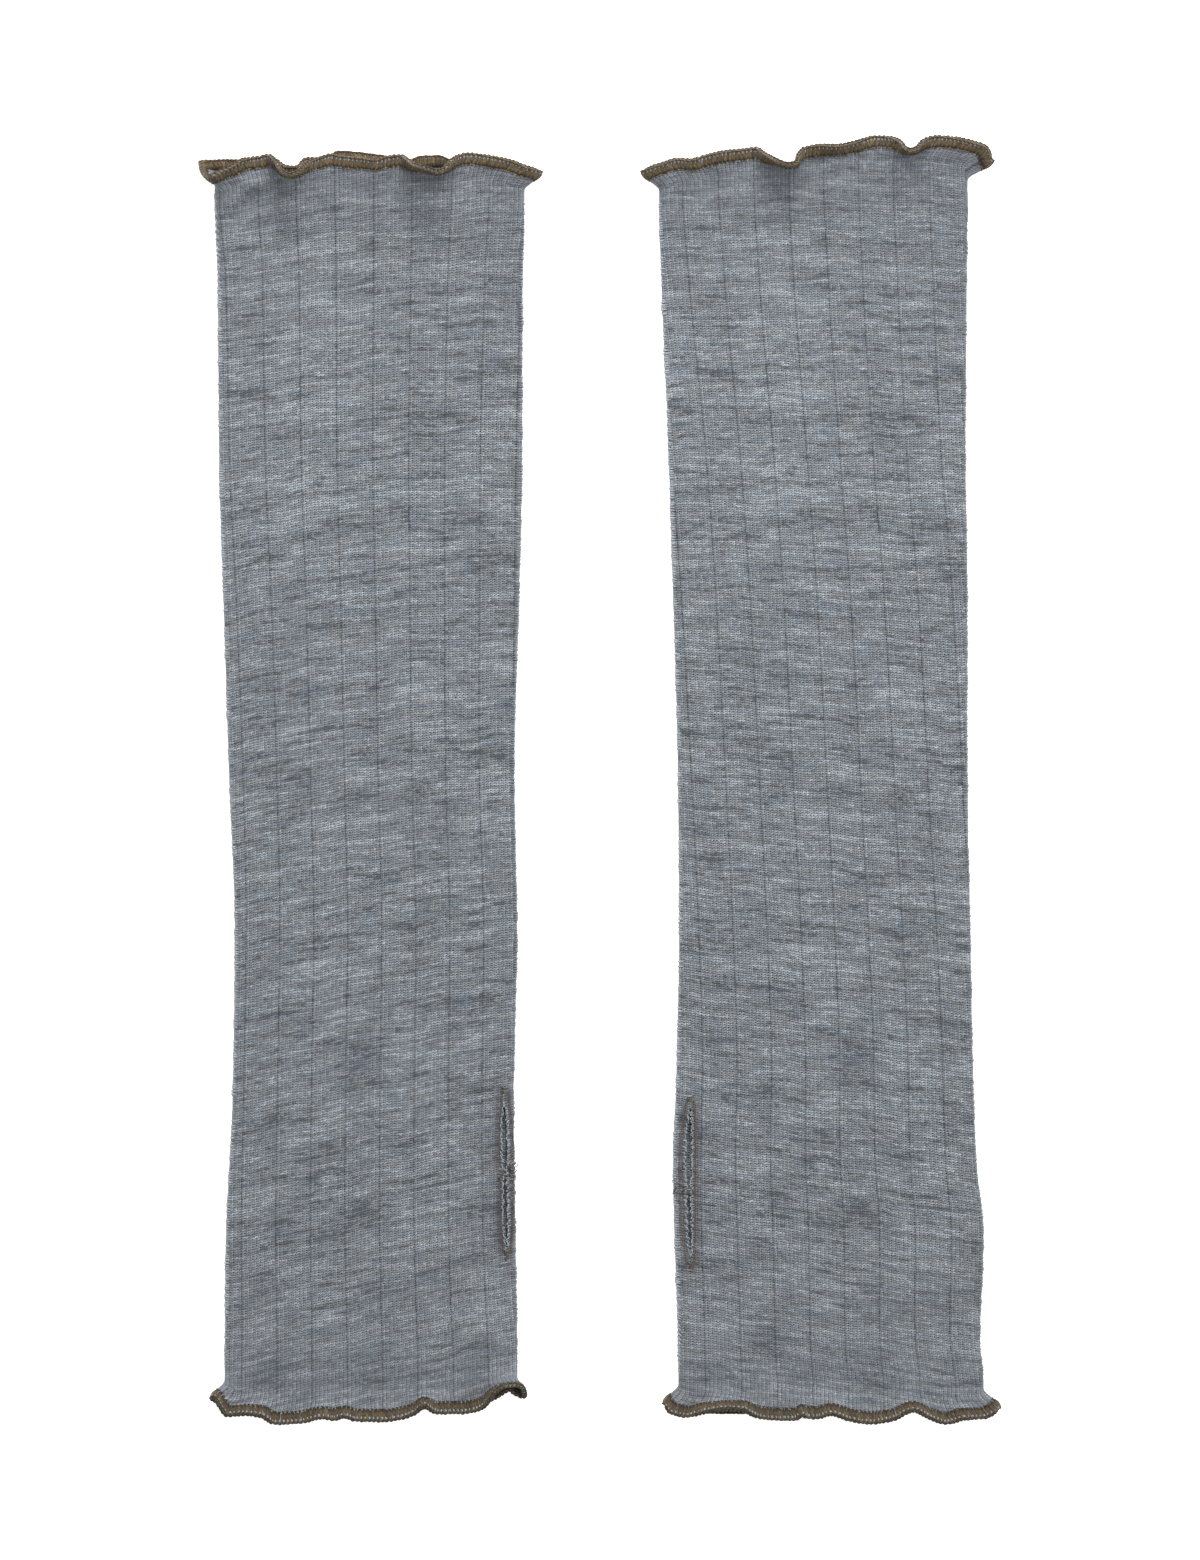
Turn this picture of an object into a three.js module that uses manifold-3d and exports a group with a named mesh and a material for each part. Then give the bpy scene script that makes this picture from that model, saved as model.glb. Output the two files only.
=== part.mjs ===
// A pair of long knitted wrist warmers, laid flat side by side.
//
// Each warmer is one circular-knitted tube, pressed flat so that its front lies on its back.
// Both ends are stretched under a brown overlock, which makes them ruffle ("lettuce edge"),
// and a slit for the thumb is cut in the front beside one fold and bound with zigzag stitches.
//
// Millimetres, +Z up. X runs across the pair, +Y towards the elbow ends. The origin is on the
// table, under the middle of the pair.

import * as THREE from "three";
import { mergeVertices } from "three/addons/utils/BufferGeometryUtils.js";
import Module from "manifold-3d";

// ---------------------------------------------------------------- driving dimensions

const CLOTH = 1.0; // thickness of the knitted wall
const FOLD_HEIGHT = 3.6; // over both layers, beside the side folds
const MOUTH_HEIGHT = 5.4; // the same where the ruffles hold the folds open
const MOUTH_DEPTH = 24; // how far in the folds close again
const MIDDLE_DIP = 0.6; // how much lower the front lies across the middle
const GATHER = 1.4; // height of the soft pleats in the front behind a ruffle that stands up
const SEAM_GAP = 0.35; // clearance between two pieces that are sewn together

const ROUND = 182; // round the tube
const RIBS = 17; // broad ribs round the tube, with one dropped needle between two ribs
const GROOVE_DEPTH = 0.35; // the line that a dropped needle leaves
const GROOVE_HALF = 0.05; // half of its width, in ribs

const EDGE_LINE = 196.5; // from the middle to the outer edge of a ruffle that lies flat
const RUFFLE = 12; // length of cloth and edging that curls up at each end
const EDGING = 4; // width of the overlock
const EDGING_THICKNESS = 1.5;
const RUFFLE_FADE = 45; // how far into the tube the waves of the ruffle die out

const SLIT_LENGTH = 50;
const SLIT_WIDTH = 1.4;
const BINDING_WIDTH = 1.5; // each side of the slit
const BINDING_HEIGHT = 1.0;

const COLOURS = { knit: 0x7f858b, edging: 0x62543f, binding: 0x726d68 };

// A section: y along the arm, the outer left and right folds, and the roll, which is how far
// the first rib line lies past the left fold, in ribs. spread says by how much the ribs of the
// front are wider than the average, as a share.
//
// A ruffle row: at goes once round the opening, 0 to 1 across the front from the left fold to
// the right and 1 to 2 back across the underside. out is how far the edge lies beyond
// EDGE_LINE as seen from above, and curl how far it has turned up out of the table's plane.

const LEFT = {
  name: "left",
  centre: [-72.1, -2.2],
  sections: [
    { y: -188, left: -46.0, right: 46.2, roll: 0.62, spread: 0.01 },
    { y: -146, left: -45.7, right: 45.7, roll: 0.58, spread: 0.01 },
    { y: -96, left: -43.5, right: 45.1, roll: 0.53, spread: 0.01 },
    { y: -46, left: -42.8, right: 46.1, roll: 0.49, spread: 0.01 },
    { y: 5, left: -44.7, right: 45.2, roll: 0.46, spread: 0.01 },
    { y: 56, left: -46.3, right: 46.6, roll: 0.42, spread: 0.02 },
    { y: 106, left: -47.8, right: 47.7, roll: 0.38, spread: 0.04 },
    { y: 156, left: -48.2, right: 47.8, roll: 0.36, spread: 0.06 },
    { y: 186, left: -49.1, right: 48.4, roll: 0.35, spread: 0.06 },
  ],
  elbow: {
    flareLeft: 5.0,
    flareRight: 5.8,
    rows: [
      { at: 0.0, out: -0.8, curl: 32 },
      { at: 0.045, out: -4.6, curl: 76 },
      { at: 0.085, out: -2.2, curl: 58 },
      { at: 0.125, out: 0.6, curl: 36 },
      { at: 0.18, out: 2.7, curl: 16 },
      { at: 0.205, out: 1.8, curl: 28 },
      { at: 0.235, out: -1.2, curl: 52 },
      { at: 0.262, out: -3.5, curl: 74 },
      { at: 0.29, out: -1.8, curl: 58 },
      { at: 0.305, out: 1.0, curl: 36 },
      { at: 0.35, out: 2.2, curl: 24 },
      { at: 0.4, out: 3.7, curl: 14 },
      { at: 0.46, out: 3.4, curl: 14 },
      { at: 0.52, out: 2.7, curl: 26 },
      { at: 0.62, out: 0.2, curl: 60 },
      { at: 0.67, out: -2.4, curl: 84 },
      { at: 0.71, out: -3.9, curl: 94 },
      { at: 0.745, out: -0.8, curl: 62 },
      { at: 0.8, out: 2.8, curl: 22 },
      { at: 0.89, out: 0.2, curl: 42 },
      { at: 0.945, out: -1.4, curl: 36 },
      { at: 1.0, out: -2.8, curl: 28 },
      { at: 1.1, out: 0.2, curl: 14 },
      { at: 1.25, out: 1.6, curl: 8 },
      { at: 1.42, out: 2.2, curl: 6 },
      { at: 1.6, out: 4.0, curl: 6 },
      { at: 1.68, out: 1.0, curl: 24 },
      { at: 1.75, out: -3.0, curl: 56 },
      { at: 1.82, out: 0.4, curl: 20 },
      { at: 1.93, out: 1.6, curl: 18 },
    ],
  },
  hand: {
    flareLeft: 4.6,
    flareRight: 3.0,
    rows: [
      { at: 0.0, out: -3.7, curl: 32 },
      { at: 0.035, out: -1.8, curl: 58 },
      { at: 0.06, out: 0.4, curl: 52 },
      { at: 0.1, out: 0.5, curl: 50 },
      { at: 0.15, out: 1.2, curl: 46 },
      { at: 0.19, out: 4.0, curl: 18 },
      { at: 0.265, out: 3.7, curl: 14 },
      { at: 0.345, out: 1.9, curl: 34 },
      { at: 0.375, out: 2.6, curl: 28 },
      { at: 0.41, out: 1.5, curl: 42 },
      { at: 0.45, out: 2.8, curl: 28 },
      { at: 0.545, out: 3.0, curl: 26 },
      { at: 0.61, out: 1.9, curl: 32 },
      { at: 0.67, out: -1.1, curl: 58 },
      { at: 0.71, out: 0.7, curl: 30 },
      { at: 0.795, out: 0.6, curl: 20 },
      { at: 0.855, out: -0.7, curl: 32 },
      { at: 0.9, out: -3.9, curl: 62 },
      { at: 0.94, out: -6.3, curl: 90 },
      { at: 0.972, out: -4.6, curl: 58 },
      { at: 1.0, out: -3.9, curl: 32 },
      { at: 1.04, out: -4.4, curl: 32 },
      { at: 1.09, out: -5.0, curl: 40 },
      { at: 1.16, out: -1.2, curl: 12 },
      { at: 1.33, out: -0.4, curl: 10 },
      { at: 1.55, out: 1.0, curl: 6 },
      { at: 1.78, out: 2.0, curl: 6 },
      { at: 1.93, out: -0.4, curl: 18 },
    ],
  },
  slit: { rib: 7.59, y: -121.4 },
};

const RIGHT = {
  name: "right",
  centre: [69.9, -0.8],
  sections: [
    { y: -188, left: -45.2, right: 51.0, roll: 1.73, spread: -0.03 },
    { y: -172, left: -45.4, right: 49.8, roll: 1.7, spread: -0.03 },
    { y: -142, left: -46.4, right: 50.9, roll: 1.66, spread: -0.03 },
    { y: -120, left: -46.9, right: 48.7, roll: 1.62, spread: -0.03 },
    { y: -96, left: -46.0, right: 47.7, roll: 1.59, spread: -0.03 },
    { y: -46, left: -45.0, right: 46.7, roll: 1.5, spread: -0.02 },
    { y: 5, left: -45.4, right: 45.8, roll: 1.42, spread: -0.02 },
    { y: 56, left: -46.8, right: 45.8, roll: 1.22, spread: -0.04 },
    { y: 106, left: -48.4, right: 45.2, roll: 0.92, spread: -0.07 },
    { y: 156, left: -50.5, right: 45.6, roll: 0.68, spread: -0.08 },
    { y: 186, left: -51.3, right: 45.8, roll: 0.6, spread: -0.08 },
  ],
  elbow: {
    flareLeft: 6.0,
    flareRight: 8.4,
    rows: [
      { at: 0.0, out: -4.2, curl: 28 },
      { at: 0.05, out: -2.4, curl: 38 },
      { at: 0.1, out: -0.4, curl: 28 },
      { at: 0.135, out: -0.7, curl: 36 },
      { at: 0.16, out: 0.3, curl: 24 },
      { at: 0.215, out: 1.8, curl: 34 },
      { at: 0.27, out: 2.5, curl: 28 },
      { at: 0.32, out: 3.0, curl: 22 },
      { at: 0.355, out: 0.4, curl: 60 },
      { at: 0.39, out: -2.0, curl: 88 },
      { at: 0.43, out: -2.4, curl: 92 },
      { at: 0.455, out: 1.2, curl: 56 },
      { at: 0.48, out: 3.3, curl: 34 },
      { at: 0.525, out: 3.9, curl: 40 },
      { at: 0.57, out: 3.6, curl: 50 },
      { at: 0.62, out: 4.5, curl: 44 },
      { at: 0.695, out: 7.0, curl: 16 },
      { at: 0.73, out: 6.6, curl: 32 },
      { at: 0.758, out: 4.4, curl: 60 },
      { at: 0.785, out: 1.7, curl: 88 },
      { at: 0.82, out: 4.8, curl: 50 },
      { at: 0.855, out: 6.8, curl: 24 },
      { at: 0.89, out: 6.3, curl: 34 },
      { at: 0.94, out: 4.9, curl: 42 },
      { at: 0.97, out: 3.4, curl: 42 },
      { at: 1.0, out: -0.8, curl: 28 },
      { at: 1.06, out: 1.0, curl: 24 },
      { at: 1.21, out: 0.2, curl: 24 },
      { at: 1.32, out: 2.4, curl: 10 },
      { at: 1.45, out: 2.2, curl: 8 },
      { at: 1.58, out: -3.2, curl: 38 },
      { at: 1.7, out: 0.4, curl: 8 },
      { at: 1.86, out: -0.2, curl: 18 },
      { at: 1.95, out: -2.0, curl: 22 },
    ],
  },
  hand: {
    flareLeft: 5.2,
    flareRight: 5.4,
    rows: [
      { at: 0.0, out: -1.2, curl: 28 },
      { at: 0.03, out: 1.8, curl: 24 },
      { at: 0.07, out: 3.0, curl: 20 },
      { at: 0.1, out: 1.8, curl: 44 },
      { at: 0.135, out: -0.9, curl: 82 },
      { at: 0.18, out: -1.8, curl: 92 },
      { at: 0.225, out: -1.2, curl: 84 },
      { at: 0.258, out: 2.2, curl: 48 },
      { at: 0.285, out: 3.5, curl: 24 },
      { at: 0.335, out: 4.2, curl: 14 },
      { at: 0.39, out: 3.4, curl: 20 },
      { at: 0.415, out: 2.4, curl: 36 },
      { at: 0.45, out: 3.5, curl: 20 },
      { at: 0.5, out: 2.1, curl: 42 },
      { at: 0.56, out: 4.2, curl: 28 },
      { at: 0.625, out: 5.1, curl: 26 },
      { at: 0.69, out: 3.8, curl: 44 },
      { at: 0.755, out: 0.6, curl: 62 },
      { at: 0.81, out: 3.7, curl: 38 },
      { at: 0.85, out: 5.2, curl: 24 },
      { at: 0.9, out: 3.5, curl: 40 },
      { at: 0.945, out: 3.4, curl: 24 },
      { at: 0.975, out: 1.8, curl: 32 },
      { at: 1.0, out: 0.2, curl: 28 },
      { at: 1.05, out: 0.6, curl: 20 },
      { at: 1.22, out: -0.6, curl: 20 },
      { at: 1.45, out: 1.8, curl: 6 },
      { at: 1.68, out: 2.2, curl: 6 },
      { at: 1.83, out: 2.4, curl: 6 },
      { at: 1.94, out: 1.2, curl: 16 },
    ],
  },
  slit: { rib: -1.16, y: -125.6 },
};

// ---------------------------------------------------------------- tables and curves

const clamp = THREE.MathUtils.clamp;
const smooth = (low, high, x) => THREE.MathUtils.smoothstep(x, low, high);

// A smooth curve through one column of a table, read at x of its key column. period closes it.
function curve(rows, key, column, x, period = 0) {
  const n = rows.length;
  const row = (i) => {
    const turn = period ? Math.floor(i / n) : 0;
    const r = rows[period ? i - turn * n : clamp(i, 0, n - 1)];
    return [r[key] + turn * period, r[column]];
  };
  if (period) x -= Math.floor((x - rows[0][key]) / period) * period;
  else x = clamp(x, rows[0][key], rows[n - 1][key]);
  let i = 0;
  while (i < n - (period ? 1 : 2) && row(i + 1)[0] <= x) i += 1;
  const [p, q] = [row(i), row(i + 1)];
  // A slope that never overshoots: nought at a crest or a trough.
  const slope = (j) => {
    const [a, b, c] = [row(j - 1), row(j), row(j + 1)];
    const before = b[0] > a[0] ? (b[1] - a[1]) / (b[0] - a[0]) : 0;
    const after = c[0] > b[0] ? (c[1] - b[1]) / (c[0] - b[0]) : 0;
    return before * after <= 0 ? 0 : (2 * before * after) / (before + after);
  };
  const width = q[0] - p[0];
  const t = (x - p[0]) / width;
  const bend = (1 - t) * slope(i) * width - t * slope(i + 1) * width;
  const rise = q[1] - p[1];
  return p[1] + t * rise + t * (1 - t) * (bend - (1 - 2 * t) * rise);
}

// ---------------------------------------------------------------- the shape of the cloth

// Once round the flattened tube, halfway through the cloth: turn 0 is the middle of the left
// fold, 0.25 the middle of the front, 0.5 the right fold, 0.75 the middle of the underside.
// The third number is nought at the folds and on the underside and rises to 1 on the front.
function section(turn, left, right, height) {
  const radius = (height - CLOTH) / 2;
  const low = CLOTH / 2;
  const [start, end] = [left + CLOTH / 2 + radius, right - CLOTH / 2 - radius];
  const quarter = (Math.PI * radius) / 2;
  const length = end - start;
  const round = (x, angle) => [
    x + radius * Math.cos(angle),
    low + radius + radius * Math.sin(angle),
    0,
  ];
  let d = (turn - Math.floor(turn)) * (2 * length + 4 * quarter);
  if (d < quarter) return round(start, Math.PI - d / radius);
  d -= quarter;
  if (d < length) {
    const across = (2 * d) / length - 1;
    const inner = 1 - across ** 4;
    const dip = MIDDLE_DIP + 0.7 * (height - FOLD_HEIGHT);
    return [start + d, low + 2 * radius - dip * inner, inner];
  }
  d -= length;
  if (d < 2 * quarter) return round(end, Math.PI / 2 - d / radius);
  d -= 2 * quarter;
  if (d < length) return [end - d, low, 0];
  return round(start, -Math.PI / 2 - (d - length) / radius);
}

// The middle of the cloth at a place given in ribs round the tube and in millimetres along it.
const HINGE = EDGE_LINE - RUFFLE; // where the cloth starts to curl

function cloth(warmer, ribs, along) {
  const row = (column, y) => curve(warmer.sections, "y", column, y);
  const even = (ribs + row("roll", along)) / RIBS;
  const around = 2 * Math.PI * even;
  const turn = even - (row("spread", along) * Math.cos(around)) / (2 * Math.PI);
  const at = 2 * (turn - Math.floor(turn));
  const end = along > 0 ? warmer.elbow : warmer.hand;
  const out = curve(end.rows, "at", "out", at, 2);
  const curl = THREE.MathUtils.degToRad(curve(end.rows, "at", "curl", at, 2));
  const side = Math.sign(along);
  const y = clamp(along, -HINGE, HINGE);
  const inside = HINGE - Math.abs(y);
  const past = Math.max(0, Math.abs(along) - HINGE);
  // The line where the curl starts moves so that the edge lies as far out as its row says.
  const moved = out + RUFFLE * (1 - Math.sin(curl) / curl);
  const opened = 1 - smooth(0, MOUTH_DEPTH, inside);
  const height = FOLD_HEIGHT + (MOUTH_HEIGHT - FOLD_HEIGHT) * opened;
  const [left, right] = [row("left", y), row("right", y)];
  const [x, z, front] = section(turn, left, right, height);
  const point = new THREE.Vector3(
    x,
    y + side * moved * (1 - smooth(0, RUFFLE_FADE, inside)),
    z + GATHER * (curl / Math.PI) * front * opened,
  );
  if (past > 0) {
    const across = (2 * x - left - right) / (right - left);
    const flare = across < 0 ? end.flareLeft : end.flareRight;
    const turned = (curl * past) / RUFFLE;
    point.x += flare * across ** 3 * (past / RUFFLE) ** 2;
    point.y += (side * RUFFLE * Math.sin(turned)) / curl;
    point.z += (RUFFLE * (1 - Math.cos(turned))) / curl;
    // Room for the edging, which is thicker than the cloth, above the table.
    point.z += ((EDGING_THICKNESS - CLOTH) / 2) * smooth(0, RUFFLE - EDGING, past);
  }
  return point;
}

// The cloth's outward direction at the same place.
function outward(warmer, ribs, along) {
  const [stepRibs, stepAlong] = [0.01, 0.05];
  const round = cloth(warmer, ribs + stepRibs, along).sub(
    cloth(warmer, ribs - stepRibs, along),
  );
  const length = cloth(warmer, ribs, along + stepAlong).sub(
    cloth(warmer, ribs, along - stepAlong),
  );
  return round.cross(length).normalize();
}

function clothPoint(warmer, ribs, along, out) {
  return cloth(warmer, ribs, along).addScaledVector(outward(warmer, ribs, along), out);
}

// ---------------------------------------------------------------- meshes from rings of points

function geometryOf(points, triangles) {
  const geometry = new THREE.BufferGeometry();
  geometry.setAttribute(
    "position",
    new THREE.Float32BufferAttribute(points.flatMap((p) => p.toArray()), 3),
  );
  geometry.setIndex(triangles.flat());
  geometry.computeVertexNormals();
  return geometry;
}

// A closed ring from its sections, each a closed loop of as many points.
function ringGeometry(sections) {
  const [rounds, loop] = [sections.length, sections[0].length];
  const triangles = [];
  const index = (i, j) => (i % rounds) * loop + (j % loop);
  for (let i = 0; i < rounds; i += 1) {
    for (let j = 0; j < loop; j += 1) {
      const [a, b, c, d] = [index(i, j), index(i + 1, j), index(i + 1, j + 1), index(i, j + 1)];
      triangles.push([a, b, c], [a, c, d]);
    }
  }
  return geometryOf(sections.flat(), triangles);
}

// The places round the tube where its mesh has points, in ribs. They follow the ribs. The
// folds, which wander over the ribs as the tube rolls, get closer points than the rest, and a
// line with a groove gets three.
function placesRound(warmer) {
  const rolls = warmer.sections.map((s) => s.roll);
  const [least, most] = [Math.min(...rolls), Math.max(...rolls)];
  const reach = 0.26; // half of the round of a fold
  const close = 0.125;
  const nearFold = (ribs) =>
    [0, RIBS / 2, RIBS].some((fold) => ribs > fold - most - reach && ribs < fold - least + reach);
  const places = [];
  for (let rib = -Math.ceil(most); rib < RIBS - Math.ceil(most); rib += 1) {
    const onFront = rib > -most - reach && rib < RIBS / 2 - least + reach;
    if (onFront) places.push({ ribs: rib - GROOVE_HALF, groove: true });
    places.push({ ribs: rib, line: onFront });
    if (onFront) places.push({ ribs: rib + GROOVE_HALF, groove: true });
    for (let part = close; part < 1; part += close) {
      const even = onFront ? part % 0.25 === 0 : part === 0.5;
      if (nearFold(rib + part) || even) places.push({ ribs: rib + part });
    }
  }
  return places;
}

// From the hand end to the elbow end, closer where the cloth curls and where the waves die out.
function placesAlong() {
  const end = [-24, -9, 0, 2.6, 5.2, RUFFLE - EDGING].map((past) => HINGE + past);
  const spans = 8;
  const inner = Array.from({ length: spans - 1 }, (_, i) => end[0] * ((2 * (i + 1)) / spans - 1));
  return [...end.map((y) => -y).reverse(), ...inner, ...end];
}

// The knitted wall: an outer skin with a groove at each rib line, and a plain inner skin.
function tubeGeometry(warmer) {
  const outer = placesRound(warmer);
  const inner = outer.filter((p) => !p.groove);
  const rows = placesAlong();
  const points = [];
  const triangles = [];
  for (const along of rows) {
    for (const place of outer) {
      const depth = place.line ? GROOVE_DEPTH : 0;
      const facing = outward(warmer, place.ribs, along).z;
      const sunk = depth * smooth(-0.6, 0, facing);
      points.push(clothPoint(warmer, place.ribs, along, CLOTH / 2 - sunk));
    }
    for (const place of inner) points.push(clothPoint(warmer, place.ribs, along, -CLOTH / 2));
  }
  const stride = outer.length + inner.length;
  const out = (row, i) => row * stride + (i % outer.length);
  const inn = (row, i) => row * stride + outer.length + (i % inner.length);
  for (let row = 0; row + 1 < rows.length; row += 1) {
    for (let i = 0; i < outer.length; i += 1) {
      const [a, b, c, d] = [out(row, i), out(row, i + 1), out(row + 1, i + 1), out(row + 1, i)];
      triangles.push([a, b, c], [a, c, d]);
    }
    for (let i = 0; i < inner.length; i += 1) {
      const [a, b, c, d] = [inn(row, i), inn(row, i + 1), inn(row + 1, i + 1), inn(row + 1, i)];
      triangles.push([a, c, b], [a, d, c]);
    }
  }
  // The rim at each end joins the two skins. The inner one has fewer points.
  for (const [row, flip] of [[0, false], [rows.length - 1, true]]) {
    const face = (a, b, c) => triangles.push(flip ? [a, c, b] : [a, b, c]);
    let j = inner.length - 1;
    outer.forEach((place, i) => {
      if (!place.groove) {
        const next = (j + 1) % inner.length;
        face(out(row, i), inn(row, j), inn(row, next));
        j = next;
      }
      face(out(row, i + 1), out(row, i), inn(row, j));
    });
  }
  return geometryOf(points, triangles);
}

// The overlock round an opening: one fat ring whose section is six-sided.
function edgingGeometry(warmer, side) {
  const start = EDGE_LINE - EDGING + SEAM_GAP;
  const middle = (start + EDGE_LINE) / 2;
  const half = EDGING_THICKNESS / 2;
  const profile = [
    { along: start, out: 0.65 * half },
    { along: middle, out: half },
    { along: EDGE_LINE, out: 0.5 * half },
    { along: EDGE_LINE, out: -0.5 * half },
    { along: middle, out: -half },
    { along: start, out: -0.65 * half },
  ];
  const round = placesRound(warmer).filter((p) => !p.groove);
  const sections = round.map((place) =>
    profile.map((p) => clothPoint(warmer, place.ribs, side * p.along, p.out)),
  );
  return ringGeometry(side > 0 ? sections : sections.reverse());
}

// ---------------------------------------------------------------- the thumb slit

// Once round the slit, at a distance from its cut edge. The slit is cut along one rib, so its
// straight sides follow the ribs; its ends are round.
function slitLoop(warmer, distance) {
  const radius = SLIT_WIDTH / 2 + distance;
  const straight = (SLIT_LENGTH - SLIT_WIDTH) / 2;
  const [sidePieces, endPieces] = [5, 5];
  const loop = [];
  for (const way of [1, -1]) {
    for (let i = 0; i <= endPieces; i += 1) {
      const angle = (Math.PI * i) / endPieces;
      loop.push([way * radius * Math.cos(angle), way * (straight + radius * Math.sin(angle))]);
    }
    for (let i = 1; i < sidePieces; i += 1) {
      loop.push([-way * radius, way * straight * (1 - (2 * i) / sidePieces)]);
    }
  }
  const ribsPerMm = RIBS / ROUND;
  return loop.map(([across, up]) => [warmer.slit.rib + across * ribsPerMm, warmer.slit.y + up]);
}

const wasm = await Module();
wasm.setup();

function solid(geometry) {
  const plain = new THREE.BufferGeometry().setAttribute(
    "position",
    (geometry.index ? geometry.toNonIndexed() : geometry).getAttribute("position"),
  );
  const merged = mergeVertices(plain, 1e-4);
  return new wasm.Manifold(
    new wasm.Mesh({
      numProp: 3,
      vertProperties: merged.attributes.position.array,
      triVerts: new Uint32Array(merged.index.array),
    }),
  );
}

function geometryFrom(manifold) {
  const mesh = manifold.getMesh();
  const geometry = new THREE.BufferGeometry();
  geometry.setAttribute("position", new THREE.BufferAttribute(mesh.vertProperties, 3));
  geometry.setIndex(new THREE.BufferAttribute(mesh.triVerts, 1));
  geometry.computeVertexNormals();
  return geometry;
}

// The slit goes through the front only: the cutter stops inside the hollow of the tube.
function slitTube(warmer) {
  const inHollow = FOLD_HEIGHT / 2;
  const outline = slitLoop(warmer, 0).map(([rib, along]) => {
    const point = cloth(warmer, rib, along);
    return new THREE.Vector2(point.x, point.y);
  });
  const cutter = new THREE.ExtrudeGeometry(new THREE.Shape(outline), {
    depth: FOLD_HEIGHT,
    bevelEnabled: false,
  });
  cutter.translate(0, 0, inHollow);
  return geometryFrom(solid(tubeGeometry(warmer)).subtract(solid(cutter)));
}

// The binding lies on the cloth all round the slit.
function bindingGeometry(warmer) {
  const bottom = CLOTH / 2 + SEAM_GAP;
  const top = bottom + BINDING_HEIGHT;
  const profile = [
    { distance: 0.1, out: bottom },
    { distance: BINDING_WIDTH - 0.1, out: bottom },
    { distance: BINDING_WIDTH, out: bottom + 0.4 },
    { distance: 0.7 * BINDING_WIDTH, out: top },
    { distance: 0.3 * BINDING_WIDTH, out: top },
    { distance: 0, out: bottom + 0.4 },
  ];
  const loops = profile.map((p) =>
    slitLoop(warmer, p.distance).map(([rib, along]) => clothPoint(warmer, rib, along, p.out)),
  );
  return ringGeometry(loops[0].map((_, i) => loops.map((loop) => loop[i])));
}

// ---------------------------------------------------------------- the pair

const material = (name) =>
  new THREE.MeshStandardMaterial({ color: COLOURS[name], roughness: 0.95, metalness: 0 });
const MATERIALS = {
  knit: material("knit"),
  edging: material("edging"),
  binding: material("binding"),
};

function warmerGroup(warmer) {
  const group = new THREE.Group();
  group.position.set(warmer.centre[0], warmer.centre[1], 0);
  const add = (piece, geometry, finish) => {
    const mesh = new THREE.Mesh(geometry, MATERIALS[finish]);
    mesh.name = `${warmer.name}_${piece}`;
    group.add(mesh);
  };
  add("tube", slitTube(warmer), "knit");
  add("elbow_edging", edgingGeometry(warmer, 1), "edging");
  add("hand_edging", edgingGeometry(warmer, -1), "edging");
  add("thumb_binding", bindingGeometry(warmer), "binding");
  return group;
}

const pair = new THREE.Group();
pair.add(warmerGroup(LEFT), warmerGroup(RIGHT));

export default pair;
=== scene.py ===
# %% [markdown]
# # A pair of knitted wrist warmers
# Two long tubes of fine melange wool lie flat, side by side. Both ends are stretched under a
# brown overlock, which makes them ruffle, and each warmer has a slit for the thumb beside its
# inner fold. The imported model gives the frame: every piece below is built in its place there.

# %% The frame
import math

import bmesh
import bpy
import numpy as np
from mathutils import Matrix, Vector


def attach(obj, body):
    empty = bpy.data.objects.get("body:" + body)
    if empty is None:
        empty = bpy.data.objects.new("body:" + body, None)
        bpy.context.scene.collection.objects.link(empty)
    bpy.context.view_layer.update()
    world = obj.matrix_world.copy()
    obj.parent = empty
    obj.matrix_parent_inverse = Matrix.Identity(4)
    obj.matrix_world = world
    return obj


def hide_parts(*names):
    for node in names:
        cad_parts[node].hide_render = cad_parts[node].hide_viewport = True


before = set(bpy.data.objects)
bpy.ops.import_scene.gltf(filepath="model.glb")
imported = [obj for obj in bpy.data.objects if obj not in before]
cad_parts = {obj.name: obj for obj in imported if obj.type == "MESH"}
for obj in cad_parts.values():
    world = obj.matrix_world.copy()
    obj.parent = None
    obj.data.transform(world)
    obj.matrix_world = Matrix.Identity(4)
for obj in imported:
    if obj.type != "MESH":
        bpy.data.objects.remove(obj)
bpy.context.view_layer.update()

print("nodes in the frame:", ", ".join(sorted(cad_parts)))

# %% [markdown]
# ## Sizes
# A garment is drawn in millimetres and Blender works in metres, so every size is written in
# millimetres and turned into metres once, when a mesh gets its points. The tube, its mouths
# and its ruffles have the driving sizes of the solids, because the cloth has to lie where the
# solids lie. The welt beside the slit is too slight for a solid, so it is only here.

# %% Driving sizes, in millimetres
MM = 0.001
CLOTH = 1.0

# The tube is pressed flat: lowest at its folds, higher at its two mouths, and dipping in the
# middle. The dip grows by a share of what the mouth stands higher.
FOLD_HEIGHT = 3.6
MOUTH_HEIGHT = 5.4
MOUTH_DEPTH = 24
MIDDLE_DIP = 0.6
MOUTH_DIP = 0.7

# The last of the cloth at each end is the ruffle, which curls up from its hinge. Inside the
# hinge the front layer gathers and lifts a little, over a hollow.
EDGE_LINE = 196.5
RUFFLE = 12
HINGE = EDGE_LINE - RUFFLE
RUFFLE_FADE = 45
GATHER = 1.4
HOLLOW = 8
HOLLOW_DEPTH = 15
TURN_OUT = 3
EDGING = 4
EDGING_THICKNESS = 1.5

# Round the tube, places are counted in ribs, from one dropped needle to the next. The groove
# at a dropped needle has its half width in ribs too.
ROUND = 182
RIBS = 17
RIBS_PER_MM = RIBS / ROUND
WALES = 9
COURSE = 0.772
GROOVE_DEPTH = 0.2
GROOVE_HALF = 0.05

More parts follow.
